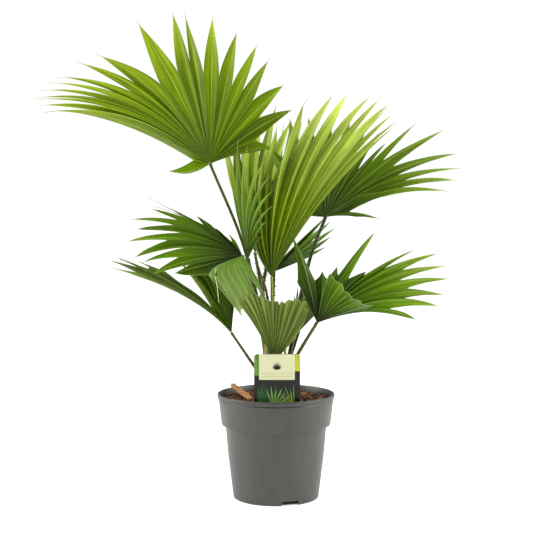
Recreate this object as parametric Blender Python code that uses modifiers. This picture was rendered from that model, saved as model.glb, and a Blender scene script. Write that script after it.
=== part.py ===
"""Potted footstool palm: thirteen pleated fan fronds on spined stalks, in a grey nursery pot."""
import math

import bpy
import numpy as np

# Pot, in metres: heights and outer radii from the rim down to the foot
POT_HEIGHT = 0.152
RIM_RADIUS = 0.085
BAND_FOOT_HEIGHT = 0.107
BAND_FOOT_RADIUS = 0.0792
BODY_TOP_RADIUS = 0.0733
MIDDLE_HEIGHT, MIDDLE_RADIUS = 0.064, 0.0698
LOWER_HEIGHT, LOWER_RADIUS = 0.0294, 0.0655
FOOT_RADIUS = 0.0622
POT_WALL = 0.0022
POT_FLOOR = 0.0026
EDGE_ROUND = 0.0016
NOTCHES = 3
FIRST_NOTCH = math.radians(-71)
NOTCH_WIDTH = 0.027
NOTCH_HEIGHT = 0.006
NOTCH_INNER_RADIUS = 0.052
POT_STEPS = 48

# Gap between pieces that rest on each other
CLEAR = 0.0004

# Soil, stem and label
SOIL_TOP = 0.143
SOIL_STEPS = 36
STEM_X, STEM_Y = -0.001, 0.002
STEM_TOP = 0.166
STEM_FLARE_RADIUS = 0.0225
STEM_TOP_RADIUS = 0.0195
STEM_STEPS = 24
LABEL_WIDTH, LABEL_TOP, LABEL_FOOT = 0.0645, 0.217, 0.110
LABEL_X, LABEL_Y, LABEL_THICK, LABEL_ROUND = 0.001, -0.0645, 0.0012, 0.004

# Stalks
STALK_FOOT_RADIUS = 0.0032
STALK_TIP_RADIUS = 0.0020
STALK_COLLAR = 0.004
KNUCKLE_RADIUS = 0.0027
STALK_SECTIONS = 8

# Blades. Their thickness is a share of their reach, and thinner near the hub.
HUB_GAP = KNUCKLE_RADIUS + 0.0005
THICK_SHARE = 0.0105
LEAST_THICK = 0.0014
THIN_HUB, THIN_SHARE = 0.030, 0.3
OPEN_SPACING = math.radians(10)
EDGE_SHARE = 0.4
TIP_POWER = 2.6
PATH_STEPS = 24
CREASE_WIDTH = 0.16

# Each frond: the hub at the top of its stalk, then stations round the fan. A station is
# (leaflet, start bearing, start depth, end bearing, end depth, reach): bearings in degrees
# anticlockwise from +X as the front sees them, depths in degrees away from the front.
# split is the share of the reach up to which leaflets are joined, cuts the deeper ones,
# stiff how late they bend, creases where some turn all at once, as a share of their reach,
# foot where the stalk stands on the stem (angle, radius).
FRONDS = {
    "upper_left": dict(
        hub=(-0.095, 0.0, 0.483), foot=(165, 0.0150),
        via=[(-0.019, 0.008, 0.225), (-0.0458, 0.013, 0.359)],
        split=0.58, cuts={1: 0.05, 10: 0.55}, stations=[
            (0, 204, 6, 176, 8, 0.062), (1, 140.5, -17, 192, -18, 0.258), (2, 139, -16, 191, -17, 0.268),
            (4, 135.5, -13, 188, -14, 0.276), (7, 128, -8, 177, -9, 0.258), (9, 120, -5, 154, -5, 0.230),
            (10, 112, -3, 122, -2, 0.230), (11, 102, -1, 108, 0, 0.222), (12, 97, 1, 101, 3, 0.219),
            (13, 89, 3, 91, 5, 0.214), (14, 79, 5, 77, 6, 0.196), (16, 64, 9, 55, 10, 0.179),
            (18, 42, 15, 24, 14, 0.152), (19, 25, 20, 0, 16, 0.100)]),
    "centre": dict(
        hub=(-0.006, 0.0, 0.320), foot=(-20, 0.0065), via=[(-0.004, 0.0, 0.245)],
        split=0.70, stiff=1.0, cuts={3: 0.62, 4: 0.50, 5: 0.60, 6: 0.61, 7: 0.66}, stations=[
            (0, 127, -16, 86, 2, 0.104), (1, 118, -15, 82, 2, 0.148), (2, 109, -14, 78, 1, 0.192),
            (3, 101, -13, 73, 0, 0.226), (4, 95, -12, 64, -2, 0.264), (5, 87, -11, 57, -3, 0.280),
            (6, 80, -10, 54, -4, 0.292), (7, 74, -9, 50, -4, 0.300), (8, 71, -8, 47, -3, 0.305),
            (10, 67, -4, 43.5, 0, 0.298), (12, 63.5, 0, 40, 3, 0.288), (13, 62, 2, 38.5, 5, 0.284)]),
    "upper_right": dict(
        hub=(0.073, 0.030, 0.406), foot=(4, 0.0150),
        via=[(0.0270, 0.012, 0.240), (0.050, 0.026, 0.344)],
        split=0.60, cuts={17: 0.35}, stations=[
            (0, 176, 26, 160, 24, 0.085), (1, 156, 25, 140, 22, 0.120), (2, 135, 23, 120, 20, 0.150),
            (3, 117, 20, 103, 16, 0.165), (4, 105, 18, 92, 14, 0.158), (5, 91, 15, 81, 12, 0.152),
            (7, 70, 10, 60, 8, 0.152), (9, 55, 5, 45, 4, 0.140), (10, 52.5, 1, 38, 1, 0.190),
            (11, 47, -3, 25.5, -3, 0.213), (12, 41, -7, 8, -6, 0.215), (13, 37, -10, -1, -9, 0.211),
            (14, 34, -14, -5, -12, 0.201), (15, 32, -19, -11, -16, 0.186), (16, 32, -30, 5, -25, 0.126),
            (17, 16, -48, -20, -38, 0.104)]),
    "left": dict(
        hub=(-0.048, -0.022, 0.352), foot=(222, 0.0150), via=[(-0.017, -0.010, 0.225), (-0.034, -0.013, 0.290)],
        split=0.60, cuts={12: 0.45, 13: 0.70, 14: 0.72, 15: 0.45, 16: 0.75},
        creases={12: 0.34, 13: 0.26, 14: 0.20, 15: 0.18, 16: 0.20}, stations=[
            (0, 120, 34, 122, 32, 0.040), (1, 128, 30, 131, 28, 0.060), (2, 135, 26, 142, 24, 0.105),
            (3, 140, 22, 158, 18, 0.172), (4, 144, 18, 162, 14, 0.162), (5, 150, 13, 177, 9, 0.175),
            (6, 155, 8, 178, 4, 0.160), (7, 161, 2, 185, -2, 0.167), (8, 165, -4, 201, -8, 0.158),
            (9, 172, -9, 196, -12, 0.145), (10, 181, -14, 202, -16, 0.133), (11, 193, -18, 193, -14, 0.104),
            (12, 204, -24, 304, 8, 0.129), (13, 212, -32, 300, 5, 0.104), (14, 228, -44, 296, 0, 0.070),
            (15, 262, -58, 297, -2, 0.070), (16, 320, -54, 303, -4, 0.074)]),
    "lower_left": dict(
        hub=(-0.064, -0.020, 0.241), foot=(192, 0.0150), via=[(-0.034, -0.009, 0.195)],
        split=0.66, stiff=0.7, stations=[
            (0, 128, -8, 164, -6, 0.198), (2, 124, -4, 163, -3, 0.207), (4, 121, 2, 160, 2, 0.195),
            (5, 120, 6, 152, 5, 0.175), (6, 121, 12, 138, 8, 0.135), (7, 124, 18, 118, 16, 0.115),
            (9, 112, 26, 103, 22, 0.120), (12, 98, 35, 90, 30, 0.112), (14, 88, 42, 82, 38, 0.092)]),
    "front": dict(
        hub=(-0.003, -0.045, 0.204), foot=(-92, 0.0150), via=[],
        split=0.82, stiff=3.0, rows=3, stations=[
            (0, 122, -12, 129, 55, 0.122), (3, 110, -12, 114, 55, 0.109), (6, 97, -12, 98, 55, 0.092),
            (9, 82, -14, 82, 52, 0.090), (12, 63, -20, 66, 45, 0.102), (13, 57, -22, 62, 42, 0.099)]),
    "lower_right": dict(
        hub=(0.058, -0.030, 0.257), foot=(-38, 0.0150), via=[(0.0330, -0.015, 0.213)],
        split=0.58, cuts={1: 0.88, 2: 0.86, 3: 0.80, 4: 0.45}, rows=2, stations=[
            (0, 124, -4, 85, -2, 0.140), (1, 118, -2, 86, 0, 0.135), (2, 111, 0, 84, 2, 0.118),
            (3, 103, 3, 82, 4, 0.098), (4, 94, 7, 78, 7, 0.078), (6, 72, 10, 60, 9, 0.086),
            (7, 63, 8, 50, 8, 0.156), (8, 46, 6, 27, 6, 0.174), (9, 40, 4, 19, 4, 0.200),
            (11, 34, 0, 14, 0, 0.202), (12, 29, -4, 7, -4, 0.197), (13, 27, -8, 3, -8, 0.184),
            (14, 25, -14, -1, -12, 0.176), (15, 24, -22, -14, -20, 0.148), (16, 28, -32, 18, -48, 0.105),
            (17, 36, -35, 30, -60, 0.098), (18, 50, -35, 45, -66, 0.100), (20, 80, -30, 80, -70, 0.114)]),
    "low_right_back": dict(
        hub=(0.034, 0.035, 0.237), foot=(36, 0.0155), via=[(0.023, 0.022, 0.205)],
        split=0.62, stations=[
            (0, 104, 32, 85, 40, 0.066), (3, 84, 38, 70, 45, 0.104), (6, 62, 42, 55, 50, 0.112),
            (9, 44, 40, 36, 45, 0.090)]),
    "centre_back": dict(
        hub=(-0.003, 0.030, 0.326), foot=(70, 0.0070), via=[(-0.005, 0.020, 0.245)],
        split=0.60, cuts={5: 0.15}, stations=[
            (0, 20, 28, 28, 42, 0.105), (2, 34, 30, 33, 42, 0.138), (4, 45, 33, 43, 44, 0.140),
            (5, 66, 42, 66, 50, 0.105), (8, 88, 46, 88, 52, 0.095)]),
    "inner_left": dict(
        hub=(-0.040, -0.008, 0.347), foot=(200, 0.0065), via=[(-0.011, -0.001, 0.225), (-0.027, -0.003, 0.290)],
        split=0.48, stiff=1.7, stations=[
            (0, 104, -6, 92, -4, 0.152), (1, 101, -12, 84, -8, 0.176), (2, 98, -16, 76, -10, 0.168),
            (3, 95, -20, 52, -14, 0.158), (4, 92, -24, 44, -18, 0.142), (5, 88, -27, 38, -22, 0.122),
            (6, 84, -30, 34, -26, 0.100), (7, 79, -32, 36, -30, 0.076), (8, 70, -34, 40, -34, 0.050)]),
    "upper_back": dict(
        hub=(-0.031, 0.056, 0.352), foot=(125, 0.0070), via=[(-0.0118, 0.018, 0.225), (-0.020, 0.036, 0.290)],
        split=0.62, stations=[
            (0, 111, 15, 97, 10, 0.195), (2, 104, 18, 88, 15, 0.228), (5, 94, 20, 78, 18, 0.255),
            (7, 86, 23, 71, 21, 0.252), (9, 78, 26, 63, 24, 0.212), (13, 59, 34, 48, 32, 0.160)]),
    "back": dict(
        hub=(0.001, 0.100, 0.377), foot=(78, 0.0150), via=[(-0.006, 0.034, 0.230), (-0.019, 0.056, 0.300)],
        split=0.60, stations=[
            (0, 92, 38, 88, 34, 0.205), (3, 80, 41, 74, 38, 0.245), (7, 62, 46, 54, 44, 0.232),
            (11, 44, 50, 34, 50, 0.160)]),
    "back_left": dict(
        hub=(-0.043, 0.090, 0.336), foot=(112, 0.0155), via=[(-0.013, 0.032, 0.225), (-0.030, 0.060, 0.285)],
        split=0.60, stations=[
            (0, 152, 42, 160, 38, 0.135), (3, 162, 50, 172, 46, 0.158), (6, 178, 60, 190, 54, 0.165),
            (9, 206, 69, 214, 62, 0.160), (12, 250, 74, 256, 68, 0.148), (14, 290, 72, 300, 68, 0.130)]),
}

# Dry leaf bases at the crown: foot and tip points, width in metres
SHEATHS = {
    "sheath_left": dict(points=[(-0.0155, -0.0171, 0.150), (-0.0158, -0.0174, 0.166),
                                (-0.0155, -0.022, 0.195), (-0.0145, -0.024, 0.229)], width=0.009),
    "sheath_right": dict(points=[(0.0125, -0.0173, 0.150), (0.0125, -0.0175, 0.166),
                                 (0.0125, -0.022, 0.195), (0.0132, -0.026, 0.230)], width=0.008),
    "sheath_strip": dict(points=[(-0.0045, -0.0075, STEM_TOP + CLEAR), (-0.0060, -0.008, 0.235),
                                 (-0.0125, -0.008, 0.292), (-0.0280, -0.009, 0.344)], width=0.0065),
}
SHEATH_THICK = 0.0012
SHEATH_SECTIONS = 6


def unit(vectors):
    vectors = np.asarray(vectors, float)
    return vectors / np.linalg.norm(vectors, axis=-1, keepdims=True)


def heading(bearing, depth):
    bearing, depth = np.radians(bearing), np.radians(depth)
    return np.stack([np.cos(depth) * np.cos(bearing), np.sin(depth), np.cos(depth) * np.sin(bearing)], -1)


def between(values):
    """Values at the seams: half-way between neighbours, and the first and last as they are."""
    return np.concatenate([values[:1], (values[:-1] + values[1:]) / 2, values[-1:]])


def seam_headings(headings, grow):
    """Headings of the seams. The outer edges stand half a leaflet outside the first and last rib."""
    middle = unit(headings[:-1] + headings[1:])
    first = unit(headings[0] - (middle[0] - headings[0]) * grow[0] * EDGE_SHARE)
    last = unit(headings[-1] - (middle[-1] - headings[-1]) * grow[-1] * EDGE_SHARE)
    return np.vstack([first, middle, last])


def bent_paths(start, end, reach, share, turned):
    """Points and headings at each share of each path. turned is how far its heading has gone at each step."""
    fine = np.linspace(0, 1, PATH_STEPS + 1)
    way = unit(start[:, None] + (end - start)[:, None] * turned[:, :, None])
    middle = (way[:, 1:] + way[:, :-1]) / 2
    run = np.concatenate([np.zeros((len(start), 1, 3)), np.cumsum(middle, axis=1) / PATH_STEPS], axis=1)
    point, head = np.empty(share.shape + (3,)), np.empty(share.shape + (3,))
    for i in range(len(start)):
        for k in range(3):
            point[i, :, k] = np.interp(share[i], fine, run[i, :, k]) * reach[i]
            head[i, :, k] = np.interp(share[i], fine, way[i, :, k])
    return point, unit(head)


def read_stations(stations):
    """Start headings, end headings and reach of every leaflet, filled in between the stations."""
    marks = np.array(stations, float)
    number = np.arange(int(marks[-1, 0]) + 1)
    b0, d0, b1, d1, reach = (np.interp(number, marks[:, 0], marks[:, k]) for k in range(1, 6))
    return heading(b0, d0), heading(b1, d1), reach


def blade_surface(frond, bands=2):
    """Vertices and faces of a blade's middle surface, joined to the split and free beyond it."""
    free = frond.get("rows", 2)
    start, end, reach = read_stations(frond["stations"])
    count = len(reach)
    fine = np.linspace(0, 1, PATH_STEPS + 1)
    turned = np.tile(fine ** frond.get("stiff", 1.2), (count, 1))
    for leaflet, crease in frond.get("creases", {}).items():
        turned[leaflet] = np.clip((fine - crease) / CREASE_WIDTH + 0.5, 0, 1)
    spacing = np.arccos(np.clip((start[:-1] * start[1:]).sum(1), -1, 1))
    grow = np.minimum(1, OPEN_SPACING / spacing)
    seam_reach = between(reach)
    split = np.full(count + 1, frond["split"])
    for seam, share in frond.get("cuts", {}).items():
        split[seam] = share
    step = np.linspace(0, 1, bands + 1)
    seam_share = HUB_GAP / seam_reach[:, None] + (split - HUB_GAP / seam_reach)[:, None] * step
    seam, _ = bent_paths(seam_headings(start, grow), seam_headings(end, grow), seam_reach, seam_share, between(turned))
    rib_split = (split[:-1] + split[1:]) / 2
    tail = np.linspace(0, 1, free + 1)
    rib_share = rib_split[:, None] + (1 - rib_split)[:, None] * tail[None, :]
    rib, rib_way = bent_paths(start, end, reach, rib_share, turned)
    across = seam[1:, bands] - seam[:-1, bands]
    normal = unit(np.cross(rib_way, across[:, None, :]))
    side = unit(np.cross(normal, rib_way))
    hub = np.array(frond["hub"])
    points = [tuple(p) for p in (seam + hub).reshape(-1, 3)]
    faces = []
    at = lambda s, r: s * (bands + 1) + r
    for i in range(count):
        for r in range(bands):
            faces.append((at(i, r), at(i, r + 1), at(i + 1, r + 1), at(i + 1, r)))
        left, right = at(i, bands), at(i + 1, bands)
        offsets = [seam[i, bands] - rib[i, 0], seam[i + 1, bands] - rib[i, 0]]
        for row in range(1, free):
            t = tail[row]
            here = []
            for offset in offsets:
                along, out, up = offset @ rib_way[i, 0], offset @ side[i, 0], offset @ normal[i, 0]
                taper = 1 - t ** TIP_POWER
                spot = rib[i, row] + along * (1 - t) * rib_way[i, row] + taper * (
                    out * side[i, row] + up * normal[i, row])
                points.append(tuple(spot + hub))
                here.append(len(points) - 1)
            faces.append((left, here[0], here[1], right))
            left, right = here
        points.append(tuple(rib[i, free] + hub))
        faces.append((left, len(points) - 1, right))
    return points, faces, float(reach.max())


def smooth_path(points, sections):
    """Points of a smooth curve through the given ones, evenly spaced."""
    points = np.array(points, float)
    ghost = np.vstack([2 * points[0] - points[1], points, 2 * points[-1] - points[-2]])
    fine = []
    for a, b, c, d in zip(ghost[:-3], ghost[1:-2], ghost[2:-1], ghost[3:]):
        for t in np.linspace(0, 1, 16, endpoint=False):
            fine.append(0.5 * (2 * b + (c - a) * t + (2 * a - 5 * b + 4 * c - d) * t ** 2
                               + (3 * b - 3 * c + d - a) * t ** 3))
    fine = np.array(fine + [points[-1]])
    run = np.concatenate([[0], np.cumsum(np.linalg.norm(np.diff(fine, axis=0), axis=1))])
    marks = np.linspace(0, run[-1], sections + 1)
    return np.stack([np.interp(marks, run, fine[:, k]) for k in range(3)], -1)


def stalk_points(frond):
    """The stalk's middle line: straight up out of the stem's top, then leaning out to the hub."""
    angle, radius = frond["foot"]
    turn = math.radians(angle)
    foot = np.array([STEM_X + radius * math.cos(turn), STEM_Y + radius * math.sin(turn), STEM_TOP + CLEAR])
    collar = foot + (0, 0, STALK_COLLAR)
    return np.vstack([foot, smooth_path([collar] + list(frond["via"]) + [frond["hub"]], STALK_SECTIONS)])


def knuckle_rings():
    """Places along the stalk, from the hub, and radii of the knuckle that the blade grows on."""
    rings = [(-1.25 * KNUCKLE_RADIUS, STALK_TIP_RADIUS)]
    for turn in np.radians((-35, 0, 35, 64)):
        rings.append((KNUCKLE_RADIUS * math.sin(turn), KNUCKLE_RADIUS * math.cos(turn)))
    return rings


def new_material(name, colour, roughness):
    material = bpy.data.materials.new(name)
    material.use_nodes = True
    shader = material.node_tree.nodes["Principled BSDF"]
    shader.inputs["Base Color"].default_value = (*colour, 1)
    shader.inputs["Roughness"].default_value = roughness
    material.diffuse_color = (*colour, 1)
    return material


def link(name, data, material, collection):
    data.materials.append(material)
    made = bpy.data.objects.new(name, data)
    collection.objects.link(made)
    return made


def turned(name, profile, steps, material, collection):
    """A solid turned about Z. The profile is (radius, height) pairs, down its outer side."""
    mesh = bpy.data.meshes.new(name)
    mesh.from_pydata([(r, 0.0, h) for r, h in profile], [(k, k + 1) for k in range(len(profile) - 1)], [])
    made = link(name, mesh, material, collection)
    screw = made.modifiers.new("turn", "SCREW")
    screw.angle = math.tau
    screw.steps = screw.render_steps = steps
    screw.use_merge_vertices = True
    screw.merge_threshold = 0.00001
    return made


def sheet(name, points, faces, thickness, material, collection):
    """A blade or strip: a surface made into a solid, half its thickness on each side."""
    mesh = bpy.data.meshes.new(name)
    mesh.from_pydata(points, [], faces)
    made = link(name, mesh, material, collection)
    solid = made.modifiers.new("thickness", "SOLIDIFY")
    solid.thickness = thickness
    solid.offset = 0.0
    return made


def cut(target, name, centre, size, turn, collection):
    """Cuts a box out of a solid."""
    bpy.ops.mesh.primitive_cube_add(size=1, location=centre, rotation=(0, 0, turn), scale=size)
    cutter = bpy.context.object
    cutter.name = name
    cutter.users_collection[0].objects.unlink(cutter)
    collection.objects.link(cutter)
    cutter.hide_render = True
    cutter.display_type = "WIRE"
    modifier = target.modifiers.new(name, "BOOLEAN")
    modifier.operation = "DIFFERENCE"
    modifier.object = cutter


def make_pot(home, cutters):
    """The wall runs up the inside, over the rim with its deep band, and down the outside."""
    step_inside = BODY_TOP_RADIUS - POT_WALL
    band_inside = BAND_FOOT_RADIUS - POT_WALL - 0.0004
    inner = [
        (0.0, POT_FLOOR), (FOOT_RADIUS - POT_WALL - 0.0006, POT_FLOOR),
        (LOWER_RADIUS - POT_WALL, LOWER_HEIGHT), (MIDDLE_RADIUS - POT_WALL, MIDDLE_HEIGHT),
        (step_inside, BAND_FOOT_HEIGHT + 0.0012), (band_inside, BAND_FOOT_HEIGHT + 0.003),
        (RIM_RADIUS - POT_WALL, POT_HEIGHT - 0.0012), (RIM_RADIUS - POT_WALL + 0.0004, POT_HEIGHT),
    ]
    outer = [
        (RIM_RADIUS - EDGE_ROUND, POT_HEIGHT), (RIM_RADIUS, POT_HEIGHT - EDGE_ROUND),
        (BAND_FOOT_RADIUS, BAND_FOOT_HEIGHT + 0.001), (BAND_FOOT_RADIUS - 0.001, BAND_FOOT_HEIGHT),
        (BODY_TOP_RADIUS, BAND_FOOT_HEIGHT - 0.0015), (MIDDLE_RADIUS, MIDDLE_HEIGHT),
        (LOWER_RADIUS, LOWER_HEIGHT), (FOOT_RADIUS, 0.004), (FOOT_RADIUS - 0.0022, 0.0), (0.0, 0.0),
    ]
    plastic = new_material("grey_plastic", (0.09, 0.09, 0.085), 0.55)
    pot = turned("pot", inner + outer, POT_STEPS, plastic, home)
    outside = FOOT_RADIUS + 0.006
    middle = (outside + NOTCH_INNER_RADIUS) / 2
    for k in range(NOTCHES):
        turn = FIRST_NOTCH + math.tau * k / NOTCHES
        cut(pot, f"notch_cutter_{k + 1}", (middle * math.cos(turn), middle * math.sin(turn), 0.0),
            (outside - NOTCH_INNER_RADIUS, NOTCH_WIDTH, 2 * NOTCH_HEIGHT), turn, cutters)


def make_soil(home, cutters):
    """Bark and coir, filling the pot to a nearly flat top, with a slot for the label's foot."""
    wall = POT_WALL + 0.0006 + CLEAR
    bark = new_material("bark_soil", (0.10, 0.045, 0.025), 0.95)
    soil = turned("soil", [
        (0.0, SOIL_TOP), (0.030, SOIL_TOP), (0.0794, SOIL_TOP - 0.003),
        (BAND_FOOT_RADIUS - POT_WALL - 0.0022, BAND_FOOT_HEIGHT + 0.006),
        (BODY_TOP_RADIUS - wall, BAND_FOOT_HEIGHT + 0.0014), (BODY_TOP_RADIUS - wall, BAND_FOOT_HEIGHT - 0.002),
        (MIDDLE_RADIUS - wall, MIDDLE_HEIGHT), (LOWER_RADIUS - wall, LOWER_HEIGHT),
        (FOOT_RADIUS - wall - 0.0008, 0.0042), (FOOT_RADIUS - POT_WALL - 0.0026, POT_FLOOR + CLEAR),
        (0.0, POT_FLOOR + CLEAR)], SOIL_STEPS, bark, home)
    slot_top = SOIL_TOP + 0.008
    slot_foot = LABEL_FOOT - 0.0005
    cut(soil, "label_cutter", (LABEL_X, LABEL_Y, (slot_foot + slot_top) / 2),
        (LABEL_WIDTH + 2 * CLEAR, LABEL_THICK + 2 * CLEAR, slot_top - slot_foot), 0.0, cutters)


def make_label(home):
    """A flat card with rounded top corners, standing in the soil."""
    half = LABEL_WIDTH / 2
    outline = [(-half, LABEL_FOOT), (half, LABEL_FOOT)]
    for side, first in ((1, 0), (-1, 90)):
        for k in range(4):
            turn = math.radians(first + 30 * k)
            outline.append((side * (half - LABEL_ROUND) + LABEL_ROUND * math.cos(turn),
                            LABEL_TOP - LABEL_ROUND + LABEL_ROUND * math.sin(turn)))
    curve = bpy.data.curves.new("label", "CURVE")
    curve.dimensions = "2D"
    curve.fill_mode = "BOTH"
    curve.extrude = LABEL_THICK / 2
    spline = curve.splines.new("POLY")
    spline.points.add(len(outline) - 1)
    for spot, (u, v) in zip(spline.points, outline):
        spot.co = (u, v, 0.0, 1.0)
    spline.use_cyclic_u = True
    made = link("label", curve, new_material("label_card", (0.62, 0.66, 0.50), 0.6), home)
    made.location = (LABEL_X, LABEL_Y, 0.0)
    made.rotation_euler = (math.pi / 2, 0.0, 0.0)


def make_stem(home):
    """A short stump of packed leaf bases, flared at the soil, with a level top."""
    foot = SOIL_TOP + CLEAR
    fibre = new_material("stem_fibre", (0.20, 0.14, 0.06), 0.9)
    made = turned("stem", [
        (0.0, STEM_TOP), (STEM_TOP_RADIUS - 0.0012, STEM_TOP), (STEM_TOP_RADIUS, STEM_TOP - 0.0015),
        (STEM_TOP_RADIUS + 0.0004, foot + 0.013), (STEM_FLARE_RADIUS - 0.0012, foot + 0.003),
        (STEM_FLARE_RADIUS, foot), (0.0, foot)], STEM_STEPS, fibre, home)
    made.location = (STEM_X, STEM_Y, 0.0)


def make_stalk(name, frond, material, home):
    """A tapering round stalk from the stem's top to the knuckle at its hub."""
    path = stalk_points(frond)
    way = unit(path[-1] - path[-2])
    radii = [STALK_TIP_RADIUS + (STALK_FOOT_RADIUS - STALK_TIP_RADIUS) * (1 - share) ** 1.5
             for share in np.linspace(0, 1, len(path))]
    rings = [(place, radius) for place, radius in zip(path[:-1], radii)]
    rings += [(path[-1] + along * way, radius) for along, radius in knuckle_rings()]
    curve = bpy.data.curves.new(name, "CURVE")
    curve.dimensions = "3D"
    curve.bevel_depth = STALK_FOOT_RADIUS
    curve.bevel_resolution = 2
    curve.use_fill_caps = True
    spline = curve.splines.new("POLY")
    spline.points.add(len(rings) - 1)
    for spot, (place, radius) in zip(spline.points, rings):
        spot.co = (*place, 1.0)
        spot.radius = radius / STALK_FOOT_RADIUS
    link(name, curve, material, home)


def make_blade(name, frond, material, home):
    """The pleated fan, thinner at its hub, where the leaflets are narrower than the blade is thick."""
    points, faces, reach = blade_surface(frond)
    blade = sheet(name, points, faces, max(LEAST_THICK, THICK_SHARE * reach), material, home)
    full = blade.vertex_groups.new(name="full")
    for k, point in enumerate(points):
        full.add([k], min(1.0, math.dist(point, frond["hub"]) / THIN_HUB), "REPLACE")
    blade.modifiers["thickness"].vertex_group = "full"
    blade.modifiers["thickness"].thickness_vertex_group = THIN_SHARE


def make_sheath(name, sheath, material, home):
    """A strip of dry leaf base, as wide as its foot's share and narrow at its tip."""
    path = smooth_path(sheath["points"], SHEATH_SECTIONS)
    points = []
    for i, (x, y, z) in enumerate(path):
        wide = sheath["width"] * (1 - 0.75 * (i / SHEATH_SECTIONS) ** 2) / 2
        points += [(x - wide, y, z), (x + wide, y, z)]
    faces = [(2 * i, 2 * i + 1, 2 * i + 3, 2 * i + 2) for i in range(SHEATH_SECTIONS)]
    sheet(name, points, faces, SHEATH_THICK, material, home)


def build():
    home = bpy.data.collections.new("potted_footstool_palm")
    cutters = bpy.data.collections.new("cutters")
    for collection in (home, cutters):
        bpy.context.scene.collection.children.link(collection)
    make_pot(home, cutters)
    make_soil(home, cutters)
    make_label(home)
    make_stem(home)
    stalk_skin = new_material("stalk_skin", (0.09, 0.14, 0.03), 0.5)
    blade_skin = new_material("blade_green", (0.13, 0.27, 0.04), 0.45)
    sheath_skin = new_material("dry_sheath", (0.28, 0.24, 0.08), 0.8)
    for name, frond in FRONDS.items():
        make_stalk("stalk_" + name, frond, stalk_skin, home)
        make_blade("frond_" + name, frond, blade_skin, home)
    for name, sheath in SHEATHS.items():
        make_sheath(name, sheath, sheath_skin, home)


for old in list(bpy.data.objects):
    bpy.data.objects.remove(old)
build()
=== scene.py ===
"""A young footstool palm in a grey nursery pot: pleated fans on spined stalks, bark soil and a card label."""
import math
import random

import bmesh
import bpy
import numpy as np
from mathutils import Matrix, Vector, noise


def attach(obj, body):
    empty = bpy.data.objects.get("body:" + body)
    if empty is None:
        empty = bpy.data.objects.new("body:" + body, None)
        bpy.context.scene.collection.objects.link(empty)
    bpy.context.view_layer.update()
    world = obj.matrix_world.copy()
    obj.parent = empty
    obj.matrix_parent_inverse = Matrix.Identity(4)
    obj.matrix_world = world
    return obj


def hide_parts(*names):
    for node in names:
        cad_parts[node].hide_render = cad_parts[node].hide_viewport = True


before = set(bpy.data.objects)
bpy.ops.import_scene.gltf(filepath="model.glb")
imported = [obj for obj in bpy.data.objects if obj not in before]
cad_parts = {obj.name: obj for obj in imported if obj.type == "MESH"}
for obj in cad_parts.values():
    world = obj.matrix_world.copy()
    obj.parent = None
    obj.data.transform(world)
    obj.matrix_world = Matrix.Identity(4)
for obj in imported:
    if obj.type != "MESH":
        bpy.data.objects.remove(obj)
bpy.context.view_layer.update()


# The studio: a white light tent, bright behind the plant and dimmer on the camera's side, over a pale
# floor. The camera is a long portrait lens, a little above the pot and looking slightly down.
CAMERA_X, CAMERA_DISTANCE, CAMERA_HEIGHT, CAMERA_TILT = -0.0138, 1.9, 0.460, 3.75
LENS, SENSOR = 89.3, 36
TENT_BACK, TENT_FRONT = 1.04, 0.24
FLOOR_RADIUS, FLOOR_GLOW = 30.0, 0.50
# Each soft box: name, place, size in metres and power in watts. All face the middle of the plant.
SOFT_BOXES = (
    ("box_left", (-1.9, -0.2, 1.2), 1.3, 56),
    ("box_right", (1.9, -0.3, 1.2), 1.3, 60),
    ("box_top", (-0.3, -0.7, 2.2), 1.1, 12),
)
PLANT_MIDDLE = Vector((0, 0, 0.35))


def linear(code):
    """An sRGB hex colour as linear RGBA."""
    parts = [int(code[k:k + 2], 16) / 255 for k in (0, 2, 4)]
    return tuple(p / 12.92 if p <= 0.04045 else ((p + 0.055) / 1.055) ** 2.4 for p in parts) + (1.0,)


def add(tree, kind, values=None, links=None, **settings):
    """Adds a node with its own settings, the values of its sockets, and the outputs that feed them."""
    made = tree.nodes.new(kind)
    for name, value in settings.items():
        setattr(made, name, value)
    for socket, value in (values or {}).items():
        made.inputs[socket].default_value = value
    for socket, source in (links or {}).items():
        tree.links.new(source, made.inputs[socket])
    return made


scene = bpy.context.scene
scene.view_settings.view_transform = "Standard"
lens = bpy.data.cameras.new("camera")
lens.lens, lens.sensor_width = LENS, SENSOR
scene.camera = bpy.data.objects.new("camera", lens)
scene.camera.location = (CAMERA_X, -CAMERA_DISTANCE, CAMERA_HEIGHT)
scene.camera.rotation_euler = (math.radians(90 - CAMERA_TILT), 0, 0)
scene.collection.objects.link(scene.camera)

scene.world = bpy.data.worlds.new("light_tent")
scene.world.use_nodes = True
tree = scene.world.node_tree
around = add(tree, "ShaderNodeTexCoord")
parts = add(tree, "ShaderNodeSeparateXYZ", None, {0: around.outputs["Generated"]})
glow = add(tree, "ShaderNodeMapRange", {
    "From Min": -0.7, "From Max": 0.75, "To Min": TENT_FRONT, "To Max": TENT_BACK},
    {"Value": parts.outputs["Y"]}, interpolation_type="SMOOTHSTEP")
tree.nodes["Background"].inputs["Color"].default_value = (1.0, 1.0, 1.0, 1.0)
tree.links.new(glow.outputs["Result"], tree.nodes["Background"].inputs["Strength"])

for name, place, size, power in SOFT_BOXES:
    light = bpy.data.lights.new(name, "AREA")
    light.size, light.energy = size, power
    lamp = bpy.data.objects.new(name, light)
    lamp.location = place
    lamp.rotation_euler = (PLANT_MIDDLE - Vector(place)).to_track_quat("-Z", "Y").to_euler()
    scene.collection.objects.link(lamp)


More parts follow.
